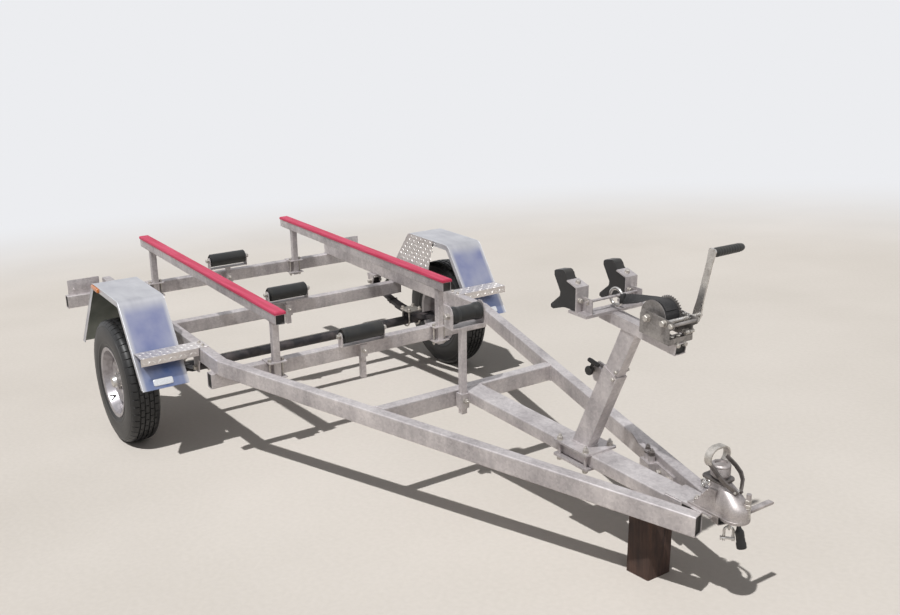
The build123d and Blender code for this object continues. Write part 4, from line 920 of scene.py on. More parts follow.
step_bars = bmesh.new()
plate_bars = bmesh.new()
step_top = [(STEP_X[0], -STEP_HALF), (STEP_X[1], -STEP_HALF), (STEP_X[1], STEP_HALF), (STEP_X[0], STEP_HALF)]
side_plate = [(x, z - GUARD_T) for x, z in guard_run if x < SIDE_PLATE_X and z > SIDE_PLATE_LOW_Z]
side_plate += SIDE_PLATE_REST
x, out, z = STEP_LIP_PLACE
for side in (-1, 1):
    tread_bars(step_bars, step_top, Matrix.Translation((0, side * STEP_Y, STEP_Z)))
    tread_bars(step_bars, STEP_LIP, facing((x, side * out, z), (0, 1, 0), (0, 0, 1)))
    wall = facing((0, side * (GUARD_IN_Y - GUARD_T), 0), (1, 0, 0), (0, 0, 1))
    tread_bars(plate_bars, side_plate, wall @ Matrix.Diagonal((1, 1, side, 1)))
settle("step_tread_bars", step_bars, bar_metal)
settle("guard_tread_bars", plate_bars, bar_metal)


# Tail lamps: on a zinc plate at each end of the rear cross member, a black base with a red lens and
# an amber one, each with moulded ribs and a screw.
LAMP_X = -1.080
LAMP_Y = 0.892
LAMP_Z = 0.558
LAMP_BOLT_Z = 0.545
LAMP_BOLT_HALF = 0.060
BASE_LEVELS = [(0, 0.004), (0, 0.015), (0.001, 0.017), (0.002, 0.017)]
LENS_LEVELS = [(0, 0.016), (0, 0.026), (0.0012, 0.030), (0.0035, 0.0325), (0.007, 0.0335)]


def bands(tree, way, scale):
    """Soft bands that follow one another along an axis."""
    settings = {"bands_direction": way}
    wave = add_node(tree, "ShaderNodeTexWave", settings, Vector=object_spot(tree), Scale=scale)
    return wave.outputs["Fac"]


lamp_plates = bmesh.new()
lamp_bases = bmesh.new()
red_lenses = bmesh.new()
amber_lenses = bmesh.new()
for side in (-1, 1):
    behind = facing((LAMP_X, side * LAMP_Y, LAMP_Z), (0, 1, 0), (0, 0, -1))
    lowered = behind @ Matrix.Translation((0, 0.001, 0))
    plate(lamp_plates, rounded_outline(0.186, 0.088, 0.006), 0.004, lowered, 0.0006)
    stacked(lamp_bases, 0.176, 0.080, 0.010, BASE_LEVELS, behind)
    for mesh, middle, width in ((red_lenses, -0.034, 0.100), (amber_lenses, 0.052, 0.066)):
        stacked(mesh, width, 0.072, 0.0085, LENS_LEVELS, behind @ Matrix.Translation((side * middle, 0, 0)))
    for spread in (-LAMP_BOLT_HALF, LAMP_BOLT_HALF):
        fastener(lamp_plates, (LAMP_X, side * LAMP_Y + spread, LAMP_BOLT_Z), (1, 0, 0), 0.010, 0.004)
red_lens, tree, shader = new_skin("red_lens", Roughness=0.16, Coat_Weight=0.5)
ribs = bands(tree, "Z", 55.0)
tint(tree, shader, ribs, (140, 12, 14), (186, 26, 24))
relief(tree, shader, ribs, 0.0008, 0.6)
settle("tail_lamp_plates", lamp_plates, galvanised, ["tail_lamps"])
settle("tail_lamp_bases", lamp_bases, black_plastic_and_shade)
settle("tail_lamp_red_lenses", red_lenses, red_lens)
settle("tail_lamp_amber_lenses", amber_lenses, amber)


# Axle and springs: a round black tube on pads under two packs of black leaves. Zinc U bolts draw
# them together through a plate, and the leaves' eyes turn on bolts in the hangers.
SPRING_Y = 0.735
SPRING_R = 1.215
PACK_TOP_Z = 0.380
U_APART = 0.036
U_HALF = 0.0365
U_R = 0.005
U_TOP_Z = PACK_TOP_Z + 0.024
CLIP_LOOP = rounded_outline(0.053, 0.028, 0.004)
CLIPS = [(-0.205, 0.3885), (0.190, 0.3860)]
EYES = [(0.395, 0.4567), (-0.430, 0.4688)]
EYE_HALF = 0.0285

axle_black = patchy_skin(
    "dusty_black_paint", (14.0, 8.0, 0.48, 0.74), (34, 32, 35), (82, 75, 75), 0.0006, 0.4, (0.3, 0.42),
    Metallic=0.2,
)
dress(axle_black, "axle", "leaf_springs")

spring_bolts = bmesh.new()
spring_clips = bmesh.new()
for side in (-1, 1):
    middle_y = side * SPRING_Y
    for y in (middle_y - U_APART, middle_y + U_APART):
        below = [(-U_HALF * cos(a), y, AXLE_Z - U_HALF * sin(a)) for a in [*circle(28)[:14], pi]]
        bar(spring_bolts, [(-U_HALF, y, U_TOP_Z), *below, (U_HALF, y, U_TOP_Z)], U_R, 12)
        for x in (-U_HALF, U_HALF):
            fastener(spring_bolts, (x, y, PACK_TOP_Z + 0.008), (0, 0, 1), 0.017, turn=x * 20)
    over_pack = Matrix.Translation((0, middle_y, PACK_TOP_Z))
    plate(spring_bolts, rounded_outline(0.100, 0.096, 0.008), 0.008, over_pack, 0.001)
    for x, z in CLIPS:
        lean = Matrix.Translation((x, middle_y, z)) @ Matrix.Rotation(-x / SPRING_R, 4, "Y")
        bar(spring_clips, [lean @ Vector((0, u, v)) for u, v in CLIP_LOOP], 0.0022, 8, closed=True)
    for x, z in EYES:
        for face in (-1, 1):
            fastener(spring_bolts, (x, middle_y + face * EYE_HALF, z), (0, face, 0), 0.0225, turn=0.5)
settle("spring_bolts", spring_bolts, bolt_zinc)
settle("spring_clips", spring_clips, axle_black)


# Tyres: black road tyres with a rounded shoulder, four grooves round the tread and cuts across its
# ribs. The sides are smooth, with a ridge that guards the rim and a few fine rings.
WHEEL_Y = 1.002
LUGS = 48
# share of a lug's length at each row of points; the first and the second rib are cut at different ones
LUG_SHARES = (0.0, 0.035, 0.095, 0.13, 0.31, 0.5, 0.535, 0.595, 0.63, 0.81)
CUT_ROWS = {1: (1, 2), 2: (6, 7)}
CUT_DEPTH = 0.0055
SHOULDER_OUT = 0.060
SHOULDER_CUT_DEPTH = 0.0025
# distance out from the tyre's middle, radius, and which row of cuts reaches the point
TYRE_HALF = [
    (0.0000, 0.3220, 1), (0.0050, 0.3219, 1), (0.0082, 0.3217, 1), (0.0092, 0.3145, 0), (0.0142, 0.3145, 0),
    (0.0152, 0.3214, 2), (0.0210, 0.3212, 2), (0.0270, 0.3209, 2), (0.0318, 0.3206, 2), (0.0328, 0.3138, 0),
    (0.0378, 0.3136, 0), (0.0388, 0.3202, 1), (0.0440, 0.3198, 1), (0.0500, 0.3188, 1), (0.0560, 0.3166, 1),
    (0.0620, 0.3128, 1), (0.0666, 0.3080, 1), (0.0700, 0.3020, 0), (0.0722, 0.2960, 0), (0.0736, 0.2925, 0),
    (0.0748, 0.2920, 0), (0.0750, 0.2890, 0), (0.0744, 0.2880, 0), (0.0762, 0.2800, 0), (0.0782, 0.2680, 0),
    (0.0794, 0.2550, 0), (0.0798, 0.2430, 0), (0.0796, 0.2330, 0), (0.0786, 0.2240, 0), (0.0774, 0.2160, 0),
    (0.0768, 0.2110, 0), (0.0774, 0.2090, 0), (0.0772, 0.2055, 0), (0.0756, 0.2025, 0), (0.0736, 0.1980, 0),
    (0.0716, 0.1920, 0), (0.0700, 0.1870, 0), (0.0684, 0.1840, 0), (0.0640, 0.1822, 0), (0.0600, 0.1790, 0),
]
TYRE_ACROSS = [(-out, radius, row) for out, radius, row in TYRE_HALF[:0:-1]] + TYRE_HALF

tyre_rubber = moulded_skin("tyre_rubber", (24, 24, 25), (84, 81, 77), 0.17, grain=260.0, depth=0.0003)
for hand, side in (("right", -1), ("left", 1)):
    tyre = bmesh.new()
    rings = []
    for lug in range(LUGS):
        for index, share in enumerate(LUG_SHARES):
            a = 2 * pi * (lug + share) / LUGS
            ring = []
            for out, radius, row in TYRE_ACROSS:
                if index in CUT_ROWS.get(row, ()):
                    radius -= SHOULDER_CUT_DEPTH if abs(out) > SHOULDER_OUT else CUT_DEPTH
                spot = (radius * cos(a), side * WHEEL_Y + out, AXLE_Z + radius * sin(a))
                ring.append(tyre.verts.new(spot))
            rings.append(ring)
    joined(tyre, rings, closed=True)
    settle("road_tyre_" + hand, tyre, tyre_rubber, ["tyre_" + hand], "wheel_" + hand, crease=32)


# Rims and hubs: pressed steel wheels in silver paint, each on a plated hub with five cone nuts and a
# rubber valve with a cap.
STUDS = 5
STUD_CIRCLE_R = 0.058
STUD_OUT = 0.0215
VALVE_FOOT = (0.140 * cos(4.0), 0.062, 0.140 * sin(4.0))
VALVE_PROFILE = [
    (0, -0.032), (0.0058, -0.032), (0.0062, -0.026), (0.0046, -0.016), (0.0040, 0.001), (0, 0.001),
]

rim_silver = patchy_skin(
    "silver_rim_paint", (18.0, 6.0, 0.48, 0.8), (166, 162, 165), (112, 105, 103), 0.0003, 0.2, (0.3, 0.32),
    Metallic=0.7, Coat_Weight=0.2, Coat_Roughness=0.25,
)
dress(rim_silver, "rim_right", "rim_left")
bright = patchy_skin(
    "bright_plated_steel", (60.0, 4.0, 0.4, 0.8), (210, 208, 205), (164, 158, 152), 0.0001, 0.3,
    (0.25, 0.24), Metallic=0.9,
)
dress(bright, "hub_right", "hub_left", "winch_crank")
for hand, side in (("right", -1), ("left", 1)):
    nuts = bmesh.new()
    for a in circle(STUDS):
        a += pi / 2 / STUDS
        foot = (STUD_CIRCLE_R * cos(a), side * (WHEEL_Y + STUD_OUT), AXLE_Z + STUD_CIRCLE_R * sin(a))
        head = (foot[0], foot[1] + side * 0.004, foot[2])
        turned(nuts, [(0, 0), (0.0085, 0), (0.0118, 0.004), (0, 0.004)], place(foot, (0, side, 0)), 20)
        fastener(nuts, head, (0, side, 0), 0.019, washer=False, turn=a)
    x, out, z = VALVE_FOOT
    valve_spot = place((x, side * (WHEEL_Y + out), AXLE_Z + z), (0.35, side, 0.35))
    turned(nuts, [(0, 0), (0.0046, 0), (0.0046, 0.009), (0.0036, 0.0105), (0, 0.0105)], valve_spot, 16)
    settle("wheel_nuts_" + hand, nuts, bright, body="wheel_" + hand)
    valve = bmesh.new()
    turned(valve, VALVE_PROFILE, valve_spot, 16)
    settle("valve_" + hand, valve, black_plastic_and_shade, body="wheel_" + hand)


# Winch post: the foot plate is clamped over the drawbar by four long bolts. A screw with a black
# knob draws two ears together, which grips the inner tube at its height.
FOOT_BOLTS = [(x, y) for x in (2.318, 2.462) for y in (-0.060, 0.060)]
FOOT_TOP_Z = 0.596
FOOT_LOW_Z = 0.530
SLIDE_BOLTS = [(2.5685, 0.9355), (2.5545, 0.9042)]
SLIDE_OUT = 0.025
SCREW_X = 2.444
SCREW_Z = 0.908
EARS_OUT = 0.019
KNOB_Y = -0.0212
KNOB_PROFILE = [
    (0, 0), (0.0085, 0), (0.0095, 0.004), (0.0095, 0.008), (0.0160, 0.011), (0.0175, 0.015), (0.0175, 0.021),
    (0.0155, 0.025), (0.0080, 0.0265), (0, 0.0265),
]
KNOB_NECK = [(2.445, -0.034, 0.910), (2.452, -0.035, 0.926), (2.462, -0.035, 0.942)]
CROSS_BAR_Y = -0.035
# X, Z and radius along the knob's cross bar
CROSS_BAR = [
    (2.434, 0.94814, 0.0050), (2.437, 0.94766, 0.0078), (2.448, 0.94590, 0.0088), (2.462, 0.94366, 0.0082),
    (2.478, 0.94110, 0.0088), (2.487, 0.93966, 0.0078), (2.490, 0.93918, 0.0050),
]


def disc(mesh, point, way, radius, thick, steps=20):
    """Adds a plain disc, such as a washer or the end of a pin, that rises along a direction."""
    turned(mesh, [(0, 0), (radius, 0), (radius, thick), (0, thick)], place(point, way), steps)


bolts = bmesh.new()
for x, y in FOOT_BOLTS:
    fastener(bolts, (x, y, FOOT_TOP_Z), (0, 0, 1), 0.0195, 0.010, turn=x * 9)
    fastener(bolts, (x, y, FOOT_LOW_Z), (0, 0, -1), 0.0195, turn=y * 9)
fastener(bolts, (SCREW_X, EARS_OUT, SCREW_Z), (0, 1, 0), 0.0185, 0.006)
disc(bolts, (SCREW_X, -EARS_OUT, SCREW_Z), (0, -1, 0), 0.011, 0.002)
for x, z in SLIDE_BOLTS:
    for face in (-1, 1):
        fastener(bolts, (x, face * SLIDE_OUT, z), (0, face, 0), 0.013, washer=False)
settle("post_bolts", bolts, bolt_zinc)
knob = bmesh.new()
turned(knob, KNOB_PROFILE, place((SCREW_X, KNOB_Y, SCREW_Z), (0, -1, 0)), 30)
bar(knob, KNOB_NECK, 0.0065, 12)
bar(knob, [(x, CROSS_BAR_Y, z) for x, z, _ in CROSS_BAR], [radius for *_, radius in CROSS_BAR], 14)
settle("post_screw_knob", knob, black_plastic_and_shade)


# Bow blocks: two V blocks of moulded black rubber, each in a bent zinc bracket on the arm's cross
# plate. Bolts go through the bracket's face and the tab over its top.
BLOCK_Y = 0.116
BLOCK_W = 0.040
# X, Z and how far each corner is cut round
BLOCK_CORNERS = [
    (2.476, 1.156, 0.004), (2.410, 1.156, 0.012), (2.345, 1.134, 0.007), (2.333, 1.147, 0.007),
    (2.393, 1.198, 0.010), (2.350, 1.269, 0.007), (2.356, 1.281, 0.006), (2.398, 1.289, 0.006),
    (2.411, 1.283, 0.006), (2.424, 1.256, 0.008), (2.476, 1.240, 0.004),
]
FACE_BOLT_X = 2.482
FACE_BOLT_Z = 1.196
FACE_BOLT_HALF = 0.013
TAB_BOLT_X = 2.4555
TAB_BOLT_Z = 1.2514
TAB_WAY = (16.2, 0, 52.5)
INNER_BOLT = (2.5075, BLOCK_Y - 0.002, 1.170)
OUTER_WASHER = (2.509, BLOCK_Y + 0.0022, 1.195)


def softened(corners, steps=4):
    """A closed outline whose corners are cut round, each by its own length."""
    points = []
    for index, (x, y, cut) in enumerate(corners):
        here = Vector((x, y))
        before = Vector(corners[index - 1][:2])
        after = Vector(corners[(index + 1) % len(corners)][:2])
        start = here + (before - here).normalized() * cut
        end = here + (after - here).normalized() * cut
        for step in range(steps + 1):
            share = step / steps
            point = start.lerp(here, share).lerp(here.lerp(end, share), share)
            points.append((point.x, point.y))
    return points


block_rubber = moulded_skin("block_rubber", (27, 27, 28), dustiness=0.2, grain=420.0, depth=0.0003)
blocks = bmesh.new()
bolts = bmesh.new()
for side in (-1, 1):
    wall = facing((0, side * BLOCK_Y + BLOCK_W / 2, 0), (1, 0, 0), (0, 0, 1))
    plate(blocks, softened(BLOCK_CORNERS), BLOCK_W, wall, 0.0028, 3)
    for step in (-FACE_BOLT_HALF, FACE_BOLT_HALF):
        head = (FACE_BOLT_X, side * BLOCK_Y + step, FACE_BOLT_Z)
        fastener(bolts, head, (1, 0, 0), 0.015, turn=step * 40)
    fastener(bolts, (TAB_BOLT_X, side * BLOCK_Y, TAB_BOLT_Z), TAB_WAY, 0.015)
    x, out, z = INNER_BOLT
    fastener(bolts, (x, side * out, z), (0, -side, 0), 0.013)
    x, out, z = OUTER_WASHER
    disc(bolts, (x, side * out, z), (0, side, 0), 0.0095, 0.0018)
settle("bow_v_blocks", blocks, block_rubber, ["bow_blocks"])
settle("bow_block_bolts", bolts, bolt_zinc)


# Hand winch: a zinc plated frame over the arm's front, the drum with its large gear between a flange
# and the strap's roll, and the pinion's shaft with the crank. A pawl rests on the gear.
DRUM = Vector((2.736, 0, 1.186))
SHAFT = Vector((2.811, 0, 1.186))
SHAFT_END_Y = -0.0565
CRANK_Y = 0.098
PLATE_OUT = 0.056
STAY_X = 2.844
STAY_Z = 1.185
ARM_BOLT_X = 2.806
ARM_BOLT_Z = 1.121
ARM_BOLT_OUT = 0.015
LIP_BOLT_X = 2.833
LIP_BOLT_Z = 1.110
LIP_BOLT_OUT = 0.0165
LIP_BOLT_WAY = (1, 0, -0.1)
ROLL_IN = -0.030
ROLL_OUT = 0.040
ROLL_R = 0.050
ROLL_RECESS = 0.0012
CORE_R = 0.024
WRAPS = 15
PAWL_OUTLINE = [
    (2.826, 1.156, 0.003), (2.844, 1.158, 0.005), (2.848, 1.170, 0.005), (2.836, 1.176, 0.004),
    (2.806, 1.166, 0.003), (2.796, 1.157, 0.001), (2.806, 1.157, 0.003),
]
PAWL_X = 2.838
PAWL_Z = 1.149
PAWL_Y = 0.0315
COIL_R = 0.0082
COIL_Y = 0.012
COIL_PITCH = 0.0028
COIL_TURNS = 6
COIL_STEPS = 14

plated = zinc_skin("thin_zinc_plate", (112, 108, 106), (182, 177, 173), 0.75, 160.0, 14.0, 0.0005)
dress(plated, "winch_frame", "winch_drum")
webbing, tree, shader = new_skin("strap_webbing", Roughness=0.72)
spot = object_spot(tree)
weave = maths(tree, "MULTIPLY", bands(tree, "Y", 190.0), bands(tree, "X", 150.0))
faded = noise_mask(tree, spot, 30.0, 4.0, 0.35, 0.75)
greyed = maths(tree, "MULTIPLY_ADD", faded, 0.5, maths(tree, "MULTIPLY", weave, 0.4))
tint(tree, shader, greyed, (24, 24, 26), (66, 64, 64))
relief(tree, shader, weave, 0.0008, 0.8)

roll = bmesh.new()
wrap_edges = []
for wrap in range(WRAPS + 1):
    radius = CORE_R + (ROLL_R - CORE_R) * wrap / WRAPS
    proud = 0.0006 * sin(2.3 * wrap) + 0.0004
    wrap_edges += [(radius, proud - 0.0010), (radius + 0.0004, proud), (radius + 0.0013, proud)]
wrap_edges = [(min(radius, ROLL_R), rise) for radius, rise in wrap_edges]
profile = [(radius, ROLL_IN + ROLL_RECESS - rise) for radius, rise in wrap_edges]
profile += [(radius, ROLL_OUT - ROLL_RECESS + rise) for radius, rise in reversed(wrap_edges)]
turned(roll, profile, place(DRUM, (0, 1, 0)), 72, closed=True)
settle("wound_strap", roll, webbing, ["strap_roll"], "drum", crease=50)

bolts = bmesh.new()
for side in (-1, 1):
    fastener(bolts, DRUM + Vector((0, side * PLATE_OUT, 0)), (0, side, 0), 0.0205, turn=0.5 * side)
    fastener(bolts, (STAY_X, side * PLATE_OUT, STAY_Z), (0, side, 0), 0.016, washer=False, turn=0.2)
    fastener(bolts, (ARM_BOLT_X, side * ARM_BOLT_OUT, ARM_BOLT_Z), ARM_UP, 0.0165, turn=side * 0.45)
    fastener(bolts, (LIP_BOLT_X, side * LIP_BOLT_OUT, LIP_BOLT_Z), LIP_BOLT_WAY, 0.0145, turn=side * 0.3)
settle("winch_bolts", bolts, bolt_zinc)
shaft_nuts = bmesh.new()
fastener(shaft_nuts, SHAFT + Vector((0, SHAFT_END_Y, 0)), (0, -1, 0), 0.019, turn=0.4)
fastener(shaft_nuts, SHAFT + Vector((0, CRANK_Y, 0)), (0, 1, 0), 0.019, turn=0.1)
settle("crank_shaft_nuts", shaft_nuts, bolt_zinc, body="crank")

pawl = bmesh.new()
plate(pawl, softened(PAWL_OUTLINE), 0.004, facing((0, 0.0355, -0.0180), (1, 0, 0), (0, 0, 1)), 0.0006)
disc(pawl, (PAWL_X, PAWL_Y, PAWL_Z), (0, 1, 0), 0.0065, 0.0205)
coil = []
for step in range(COIL_TURNS * COIL_STEPS + 1):
    a = 2 * pi * step / COIL_STEPS
    y = COIL_Y + COIL_PITCH * step / COIL_STEPS
    coil.append((PAWL_X + COIL_R * cos(a), y, PAWL_Z + COIL_R * sin(a)))
bar(pawl, coil, 0.0009, 6)
bar(pawl, [(PAWL_X, 0.008, PAWL_Z), (PAWL_X, PAWL_Y, PAWL_Z)], 0.0045, 12)
settle("winch_pawl", pawl, bolt_zinc)


# Strap: black webbing from the top of the roll to the bright ring on the arm's rod, twisting on its
# edge as it goes and looped round the ring. The crank's grip is moulded with finger rings.
RING_PLACE = (2.527, 0, 1.198)
RING_R = 0.030
LOOP_PLACE = Vector((2.5585, 0, 1.1975))
STRAP_T = 0.0024
STRAP_LAST_R = 0.0518
# X, Y, Z, degrees of twist and width of the strap from the ring to the roll's top
STRAP_RUN = [
    (2.5650, 0.0000, 1.1990, 62, 0.036), (2.5900, 0.0008, 1.2050, 50, 0.039),
    (2.6150, 0.0016, 1.2110, 38, 0.042), (2.6435, 0.0025, 1.2180, 26, 0.046),
    (2.6700, 0.0033, 1.2250, 14, 0.048), (2.6950, 0.0042, 1.2320, 5, 0.050),
    (2.7180, 0.0050, 1.2358, 0, 0.050), (2.7360, 0.0050, 1.2378, 0, 0.050),
]
STRIP_SECTION = [
    (-1, -0.5), (-0.97, -1), (0, -1.12), (0.97, -1), (1, -0.5),
    (1, 0.5), (0.97, 1), (0, 1.12), (-0.97, 1), (-1, 0.5),
]
CRANK_LEN = 0.226
CRANK_LEAN = radians(12)
FINGER_RINGS = 9


def strip(mesh, points, across, widths, thick):
    """Adds a flat strap along points. Its width lies across; both are one value, or one for each."""
    ways = across if isinstance(across, list) else [across] * len(points)
    sizes = widths if isinstance(widths, list) else [widths] * len(points)
    points = [Vector(point) for point in points]
    rings = []
    for index, (point, side_way) in enumerate(zip(points, ways)):
        side_way = Vector(side_way)
        way = (points[min(index + 1, len(points) - 1)] - points[max(index - 1, 0)]).normalized()
        wide = (side_way - way * side_way.dot(way)).normalized()
        normal = way.cross(wide)
        wide *= sizes[index] / 2
        rings.append([
            mesh.verts.new(point + wide * u + normal * v * thick / 2) for u, v in STRIP_SECTION
        ])
    joined(mesh, rings)


ring = bmesh.new()
turned(ring, [(RING_R + 0.0060 * cos(a), 0.0049 * sin(a)) for a in circle(14)],
       place(RING_PLACE, (0, 1, 0)), 56, closed=True)
settle("strap_ring", ring, bright, ["strap_hook"])
STRAP_RUN += [
    (DRUM.x + STRAP_LAST_R * sin(radians(turn)), 0.005, DRUM.z + STRAP_LAST_R * cos(radians(turn)), 0, 0.050)
    for turn in range(10, 70, 10)
]
strap = bmesh.new()
twists = [(0, cos(radians(row[3])), sin(radians(row[3]))) for row in STRAP_RUN]
strip(strap, [row[:3] for row in STRAP_RUN], twists, [row[4] for row in STRAP_RUN], STRAP_T)
strap_loop = [
    LOOP_PLACE + Vector((0.0088 * cos(a), 0.0078 * sin(a), 0.002 * (1 + cos(a))))
    for a in [*circle(18), 2 * pi]
]
strip(strap, strap_loop, (0, 0.12, 1), 0.034, STRAP_T)
settle("winch_webbing", strap, webbing, ["winch_strap"], crease=60)

grip = bmesh.new()
profile = [
    (0.0051, 0.0), (0.0120, 0.0), (0.0138, 0.0015), (0.0150, 0.004), (0.0150, 0.007), (0.0138, 0.0085),
]
for step in range(FINGER_RINGS):
    start = 0.012 + step * 0.0125
    girth = 0.0160 - 0.0010 * step / (FINGER_RINGS - 1)
    profile += [(girth - 0.0008, start), (girth, start + 0.003)]
    profile += [(girth, start + 0.0085), (girth - 0.0008, start + 0.0115)]
profile += [
    (0.0142, 0.128), (0.0130, 0.136), (0.0104, 0.142), (0.0060, 0.1464), (0, 0.1478), (0, 0.1425),
    (0.0051, 0.1420),
]
grip_foot = SHAFT + Vector((CRANK_LEN * sin(CRANK_LEAN), CRANK_Y, CRANK_LEN * cos(CRANK_LEAN)))
turned(grip, profile, place(grip_foot, (0, 1, 0)), 36)
settle("crank_handgrip", grip, roller_rubber, ["crank_grip"], "crank")


# Coupling: a zinc plated casting over the ball, on a bolted flange, with ribs up to the latch. The
# casting's skin flows from the lip to the neck under the collar.
BALL_X = 3.108
LIP_R = 0.0454
LIP_Z = 0.6035
RIB_OUT = 0.0420
FLANGE_TOP_Z = 0.604
FRONT_NUTS_X = 3.1445
FRONT_NUTS_Y = 0.012
LIP_ENDS = radians(112)
LIP_STEPS = 30
# height, middle X, length, width and corner radius of the casting's level sections
CAST_LEVELS = [
    (0.6042, 3.0750, 0.1620, 0.0880, 0.0430), (0.6110, 3.0755, 0.1580, 0.0848, 0.0415),
    (0.6240, 3.0765, 0.1560, 0.0836, 0.0410), (0.6400, 3.0765, 0.1535, 0.0832, 0.0405),
    (0.6500, 3.0740, 0.1450, 0.0802, 0.0392), (0.6600, 3.0700, 0.1330, 0.0756, 0.0370),
    (0.6690, 3.0655, 0.1215, 0.0708, 0.0346), (0.6780, 3.0605, 0.1085, 0.0650, 0.0318),
    (0.6870, 3.0545, 0.0950, 0.0586, 0.0286), (0.6950, 3.0490, 0.0840, 0.0536, 0.0262),
    (0.7030, 3.0430, 0.0720, 0.0492, 0.0240), (0.7076, 3.0400, 0.0630, 0.0456, 0.0222),
]
RIB_RIVETS = [(2.967, 0.6070), (2.985, 0.6280), (3.004, 0.6520), (3.022, 0.6740)]
FLANGE_BOLTS = [(2.966, -0.021), (2.966, 0.021)]
FRONT_NUT_ZS = (0.612, 0.628, 0.646, 0.664)
cast_grey = zinc_skin("plated_casting", (132, 125, 124), (204, 197, 194), 0.8, 320.0, 14.0, 0.0008)
dress(cast_grey, "coupling_body")
casting = bmesh.new()
joined(casting, [
    [casting.verts.new((x + u, v, z)) for u, v in rounded_outline(length, width, corner, 9)]
    for z, x, length, width, corner in CAST_LEVELS
])
lip = [(2.948, -0.0428, LIP_Z), (3.066, -0.0432, LIP_Z)]
for step in range(LIP_STEPS + 1):
    a = LIP_ENDS * (2 * step / LIP_STEPS - 1)
    lip.append((BALL_X + LIP_R * cos(a), LIP_R * sin(a), LIP_Z))
bar(casting, [*lip, (3.066, 0.0432, LIP_Z), (2.948, 0.0432, LIP_Z)], 0.0024, 8)
for side in (-1, 1):
    for x, z in RIB_RIVETS:
        turned(casting, [(0, 0), (0.0045, 0), (0.0042, 0.0012), (0.0028, 0.0022), (0, 0.0024)],
               place((x, side * RIB_OUT, z), (0, side, 0)), 14)
settle("coupling_casting", casting, cast_grey, crease=50)

bolts = bmesh.new()
for x, y in FLANGE_BOLTS:
    fastener(bolts, (x, y, FLANGE_TOP_Z), (0, 0, 1), 0.019, 0.008, turn=y * 30)
for z in FRONT_NUT_ZS:
    fastener(bolts, (FRONT_NUTS_X, FRONT_NUTS_Y, z), (0, 0, 1), 0.0190, washer=z < 0.65, turn=z * 40)
settle("coupling_bolts", bolts, bolt_zinc)


# Latch: a neck and a screwed collar with flutes, the bent loop that lifts it, and two dark side
# straps that run from a pin at the front up past the collar.
LOOP_X = 3.020
LOOP_Z = 0.783
PIN_X = 3.111
PIN_Z = 0.694
REAR_PIN_X = 3.000
REAR_PIN_Z = 0.702
PINS_OUT = 0.014
FLUTE_R = 0.0328
LATCH_T = 0.0055
# X, distance out, Z and width along each side strap, from the front pin up to the loop
NEAR_STRAP = [
    (3.119, 0.0105, 0.688, 0.012), (3.113, 0.0110, 0.693, 0.017), (3.103, 0.0200, 0.704, 0.017),
    (3.088, 0.0330, 0.719, 0.016), (3.066, 0.0385, 0.736, 0.016), (3.042, 0.0385, 0.753, 0.015),
    (3.024, 0.0380, 0.766, 0.015), (3.016, 0.0370, 0.776, 0.012),
]
FAR_STRAP = [
    (3.119, 0.0105, 0.688, 0.012), (3.113, 0.0110, 0.693, 0.017), (3.108, 0.0210, 0.706, 0.017),
    (3.100, 0.0330, 0.722, 0.016), (3.086, 0.0385, 0.740, 0.016), (3.064, 0.0390, 0.756, 0.015),
    (3.040, 0.0385, 0.768, 0.015), (3.026, 0.0375, 0.776, 0.012),
]
dark_cast = zinc_skin("latch_steel", (74, 70, 69), (128, 121, 117), 0.6, 260.0, 24.0, 0.0005)
collar = bmesh.new()
turned(collar, [(0, 0), (0.0236, 0), (0.0240, 0.003), (0.0236, 0.014), (0, 0.014)],
       place((3.038, 0, 0.708), (0, 0, 1)), 40)
flutes = [(0.0, 0.0), (0.0285, 0.0), (0.0318, 0.003), (FLUTE_R, 0.006)]
flutes += [(FLUTE_R - 0.0010 * (step % 2), 0.008 + 0.0022 * step) for step in range(13)]
flutes += [(FLUTE_R, 0.0370), (0.0315, 0.0400), (0.0285, 0.0430), (0.0200, 0.0440), (0.0190, 0.0400)]
flutes += [(0, 0.0400)]
turned(collar, flutes, place((3.036, 0, 0.722), (0, 0, 1)), 48)
settle("latch_collar", collar, cast_grey, ["coupling_latch"])

handle = bmesh.new()
loop_points = [(LOOP_X, u, LOOP_Z + v) for u, v in rounded_outline(0.090, 0.066, 0.0329, 9)]
strip(handle, loop_points + loop_points[:1], (1, 0, 0), 0.028, LATCH_T)
straps = bmesh.new()
for side, run in ((-1, NEAR_STRAP), (1, FAR_STRAP)):
    middle = [(x, side * out, z) for x, out, z, _ in run]
    strip(straps, middle, (0.55, 0, 0.83), [wide for *_, wide in run], LATCH_T)
plate(straps, rounded_outline(0.092, 0.074, 0.020), 0.0075, Matrix.Translation((3.030, 0, 0.7085)), 0.0015)
settle("latch_side_straps", straps, dark_cast)
settle("latch_loop_handle", handle, bolt_zinc, crease=50)
pins = bmesh.new()
for side in (-1, 1):
    turned(pins, [(0, 0), (0.0062, 0), (0.0060, 0.0016), (0.0040, 0.0030), (0, 0.0034)],
           place((PIN_X, side * PINS_OUT, PIN_Z), (0, side, 0)), 20)
    turned(pins, [(0, 0), (0.0050, 0), (0.0046, 0.0014), (0, 0.0026)],
           place((REAR_PIN_X, side * PINS_OUT, REAR_PIN_Z), (0, side, 0)), 18)
bar(pins, [(PIN_X, -0.0135, PIN_Z), (PIN_X, 0.0135, PIN_Z)], 0.0045, 12)
settle("latch_pins", pins, bright)


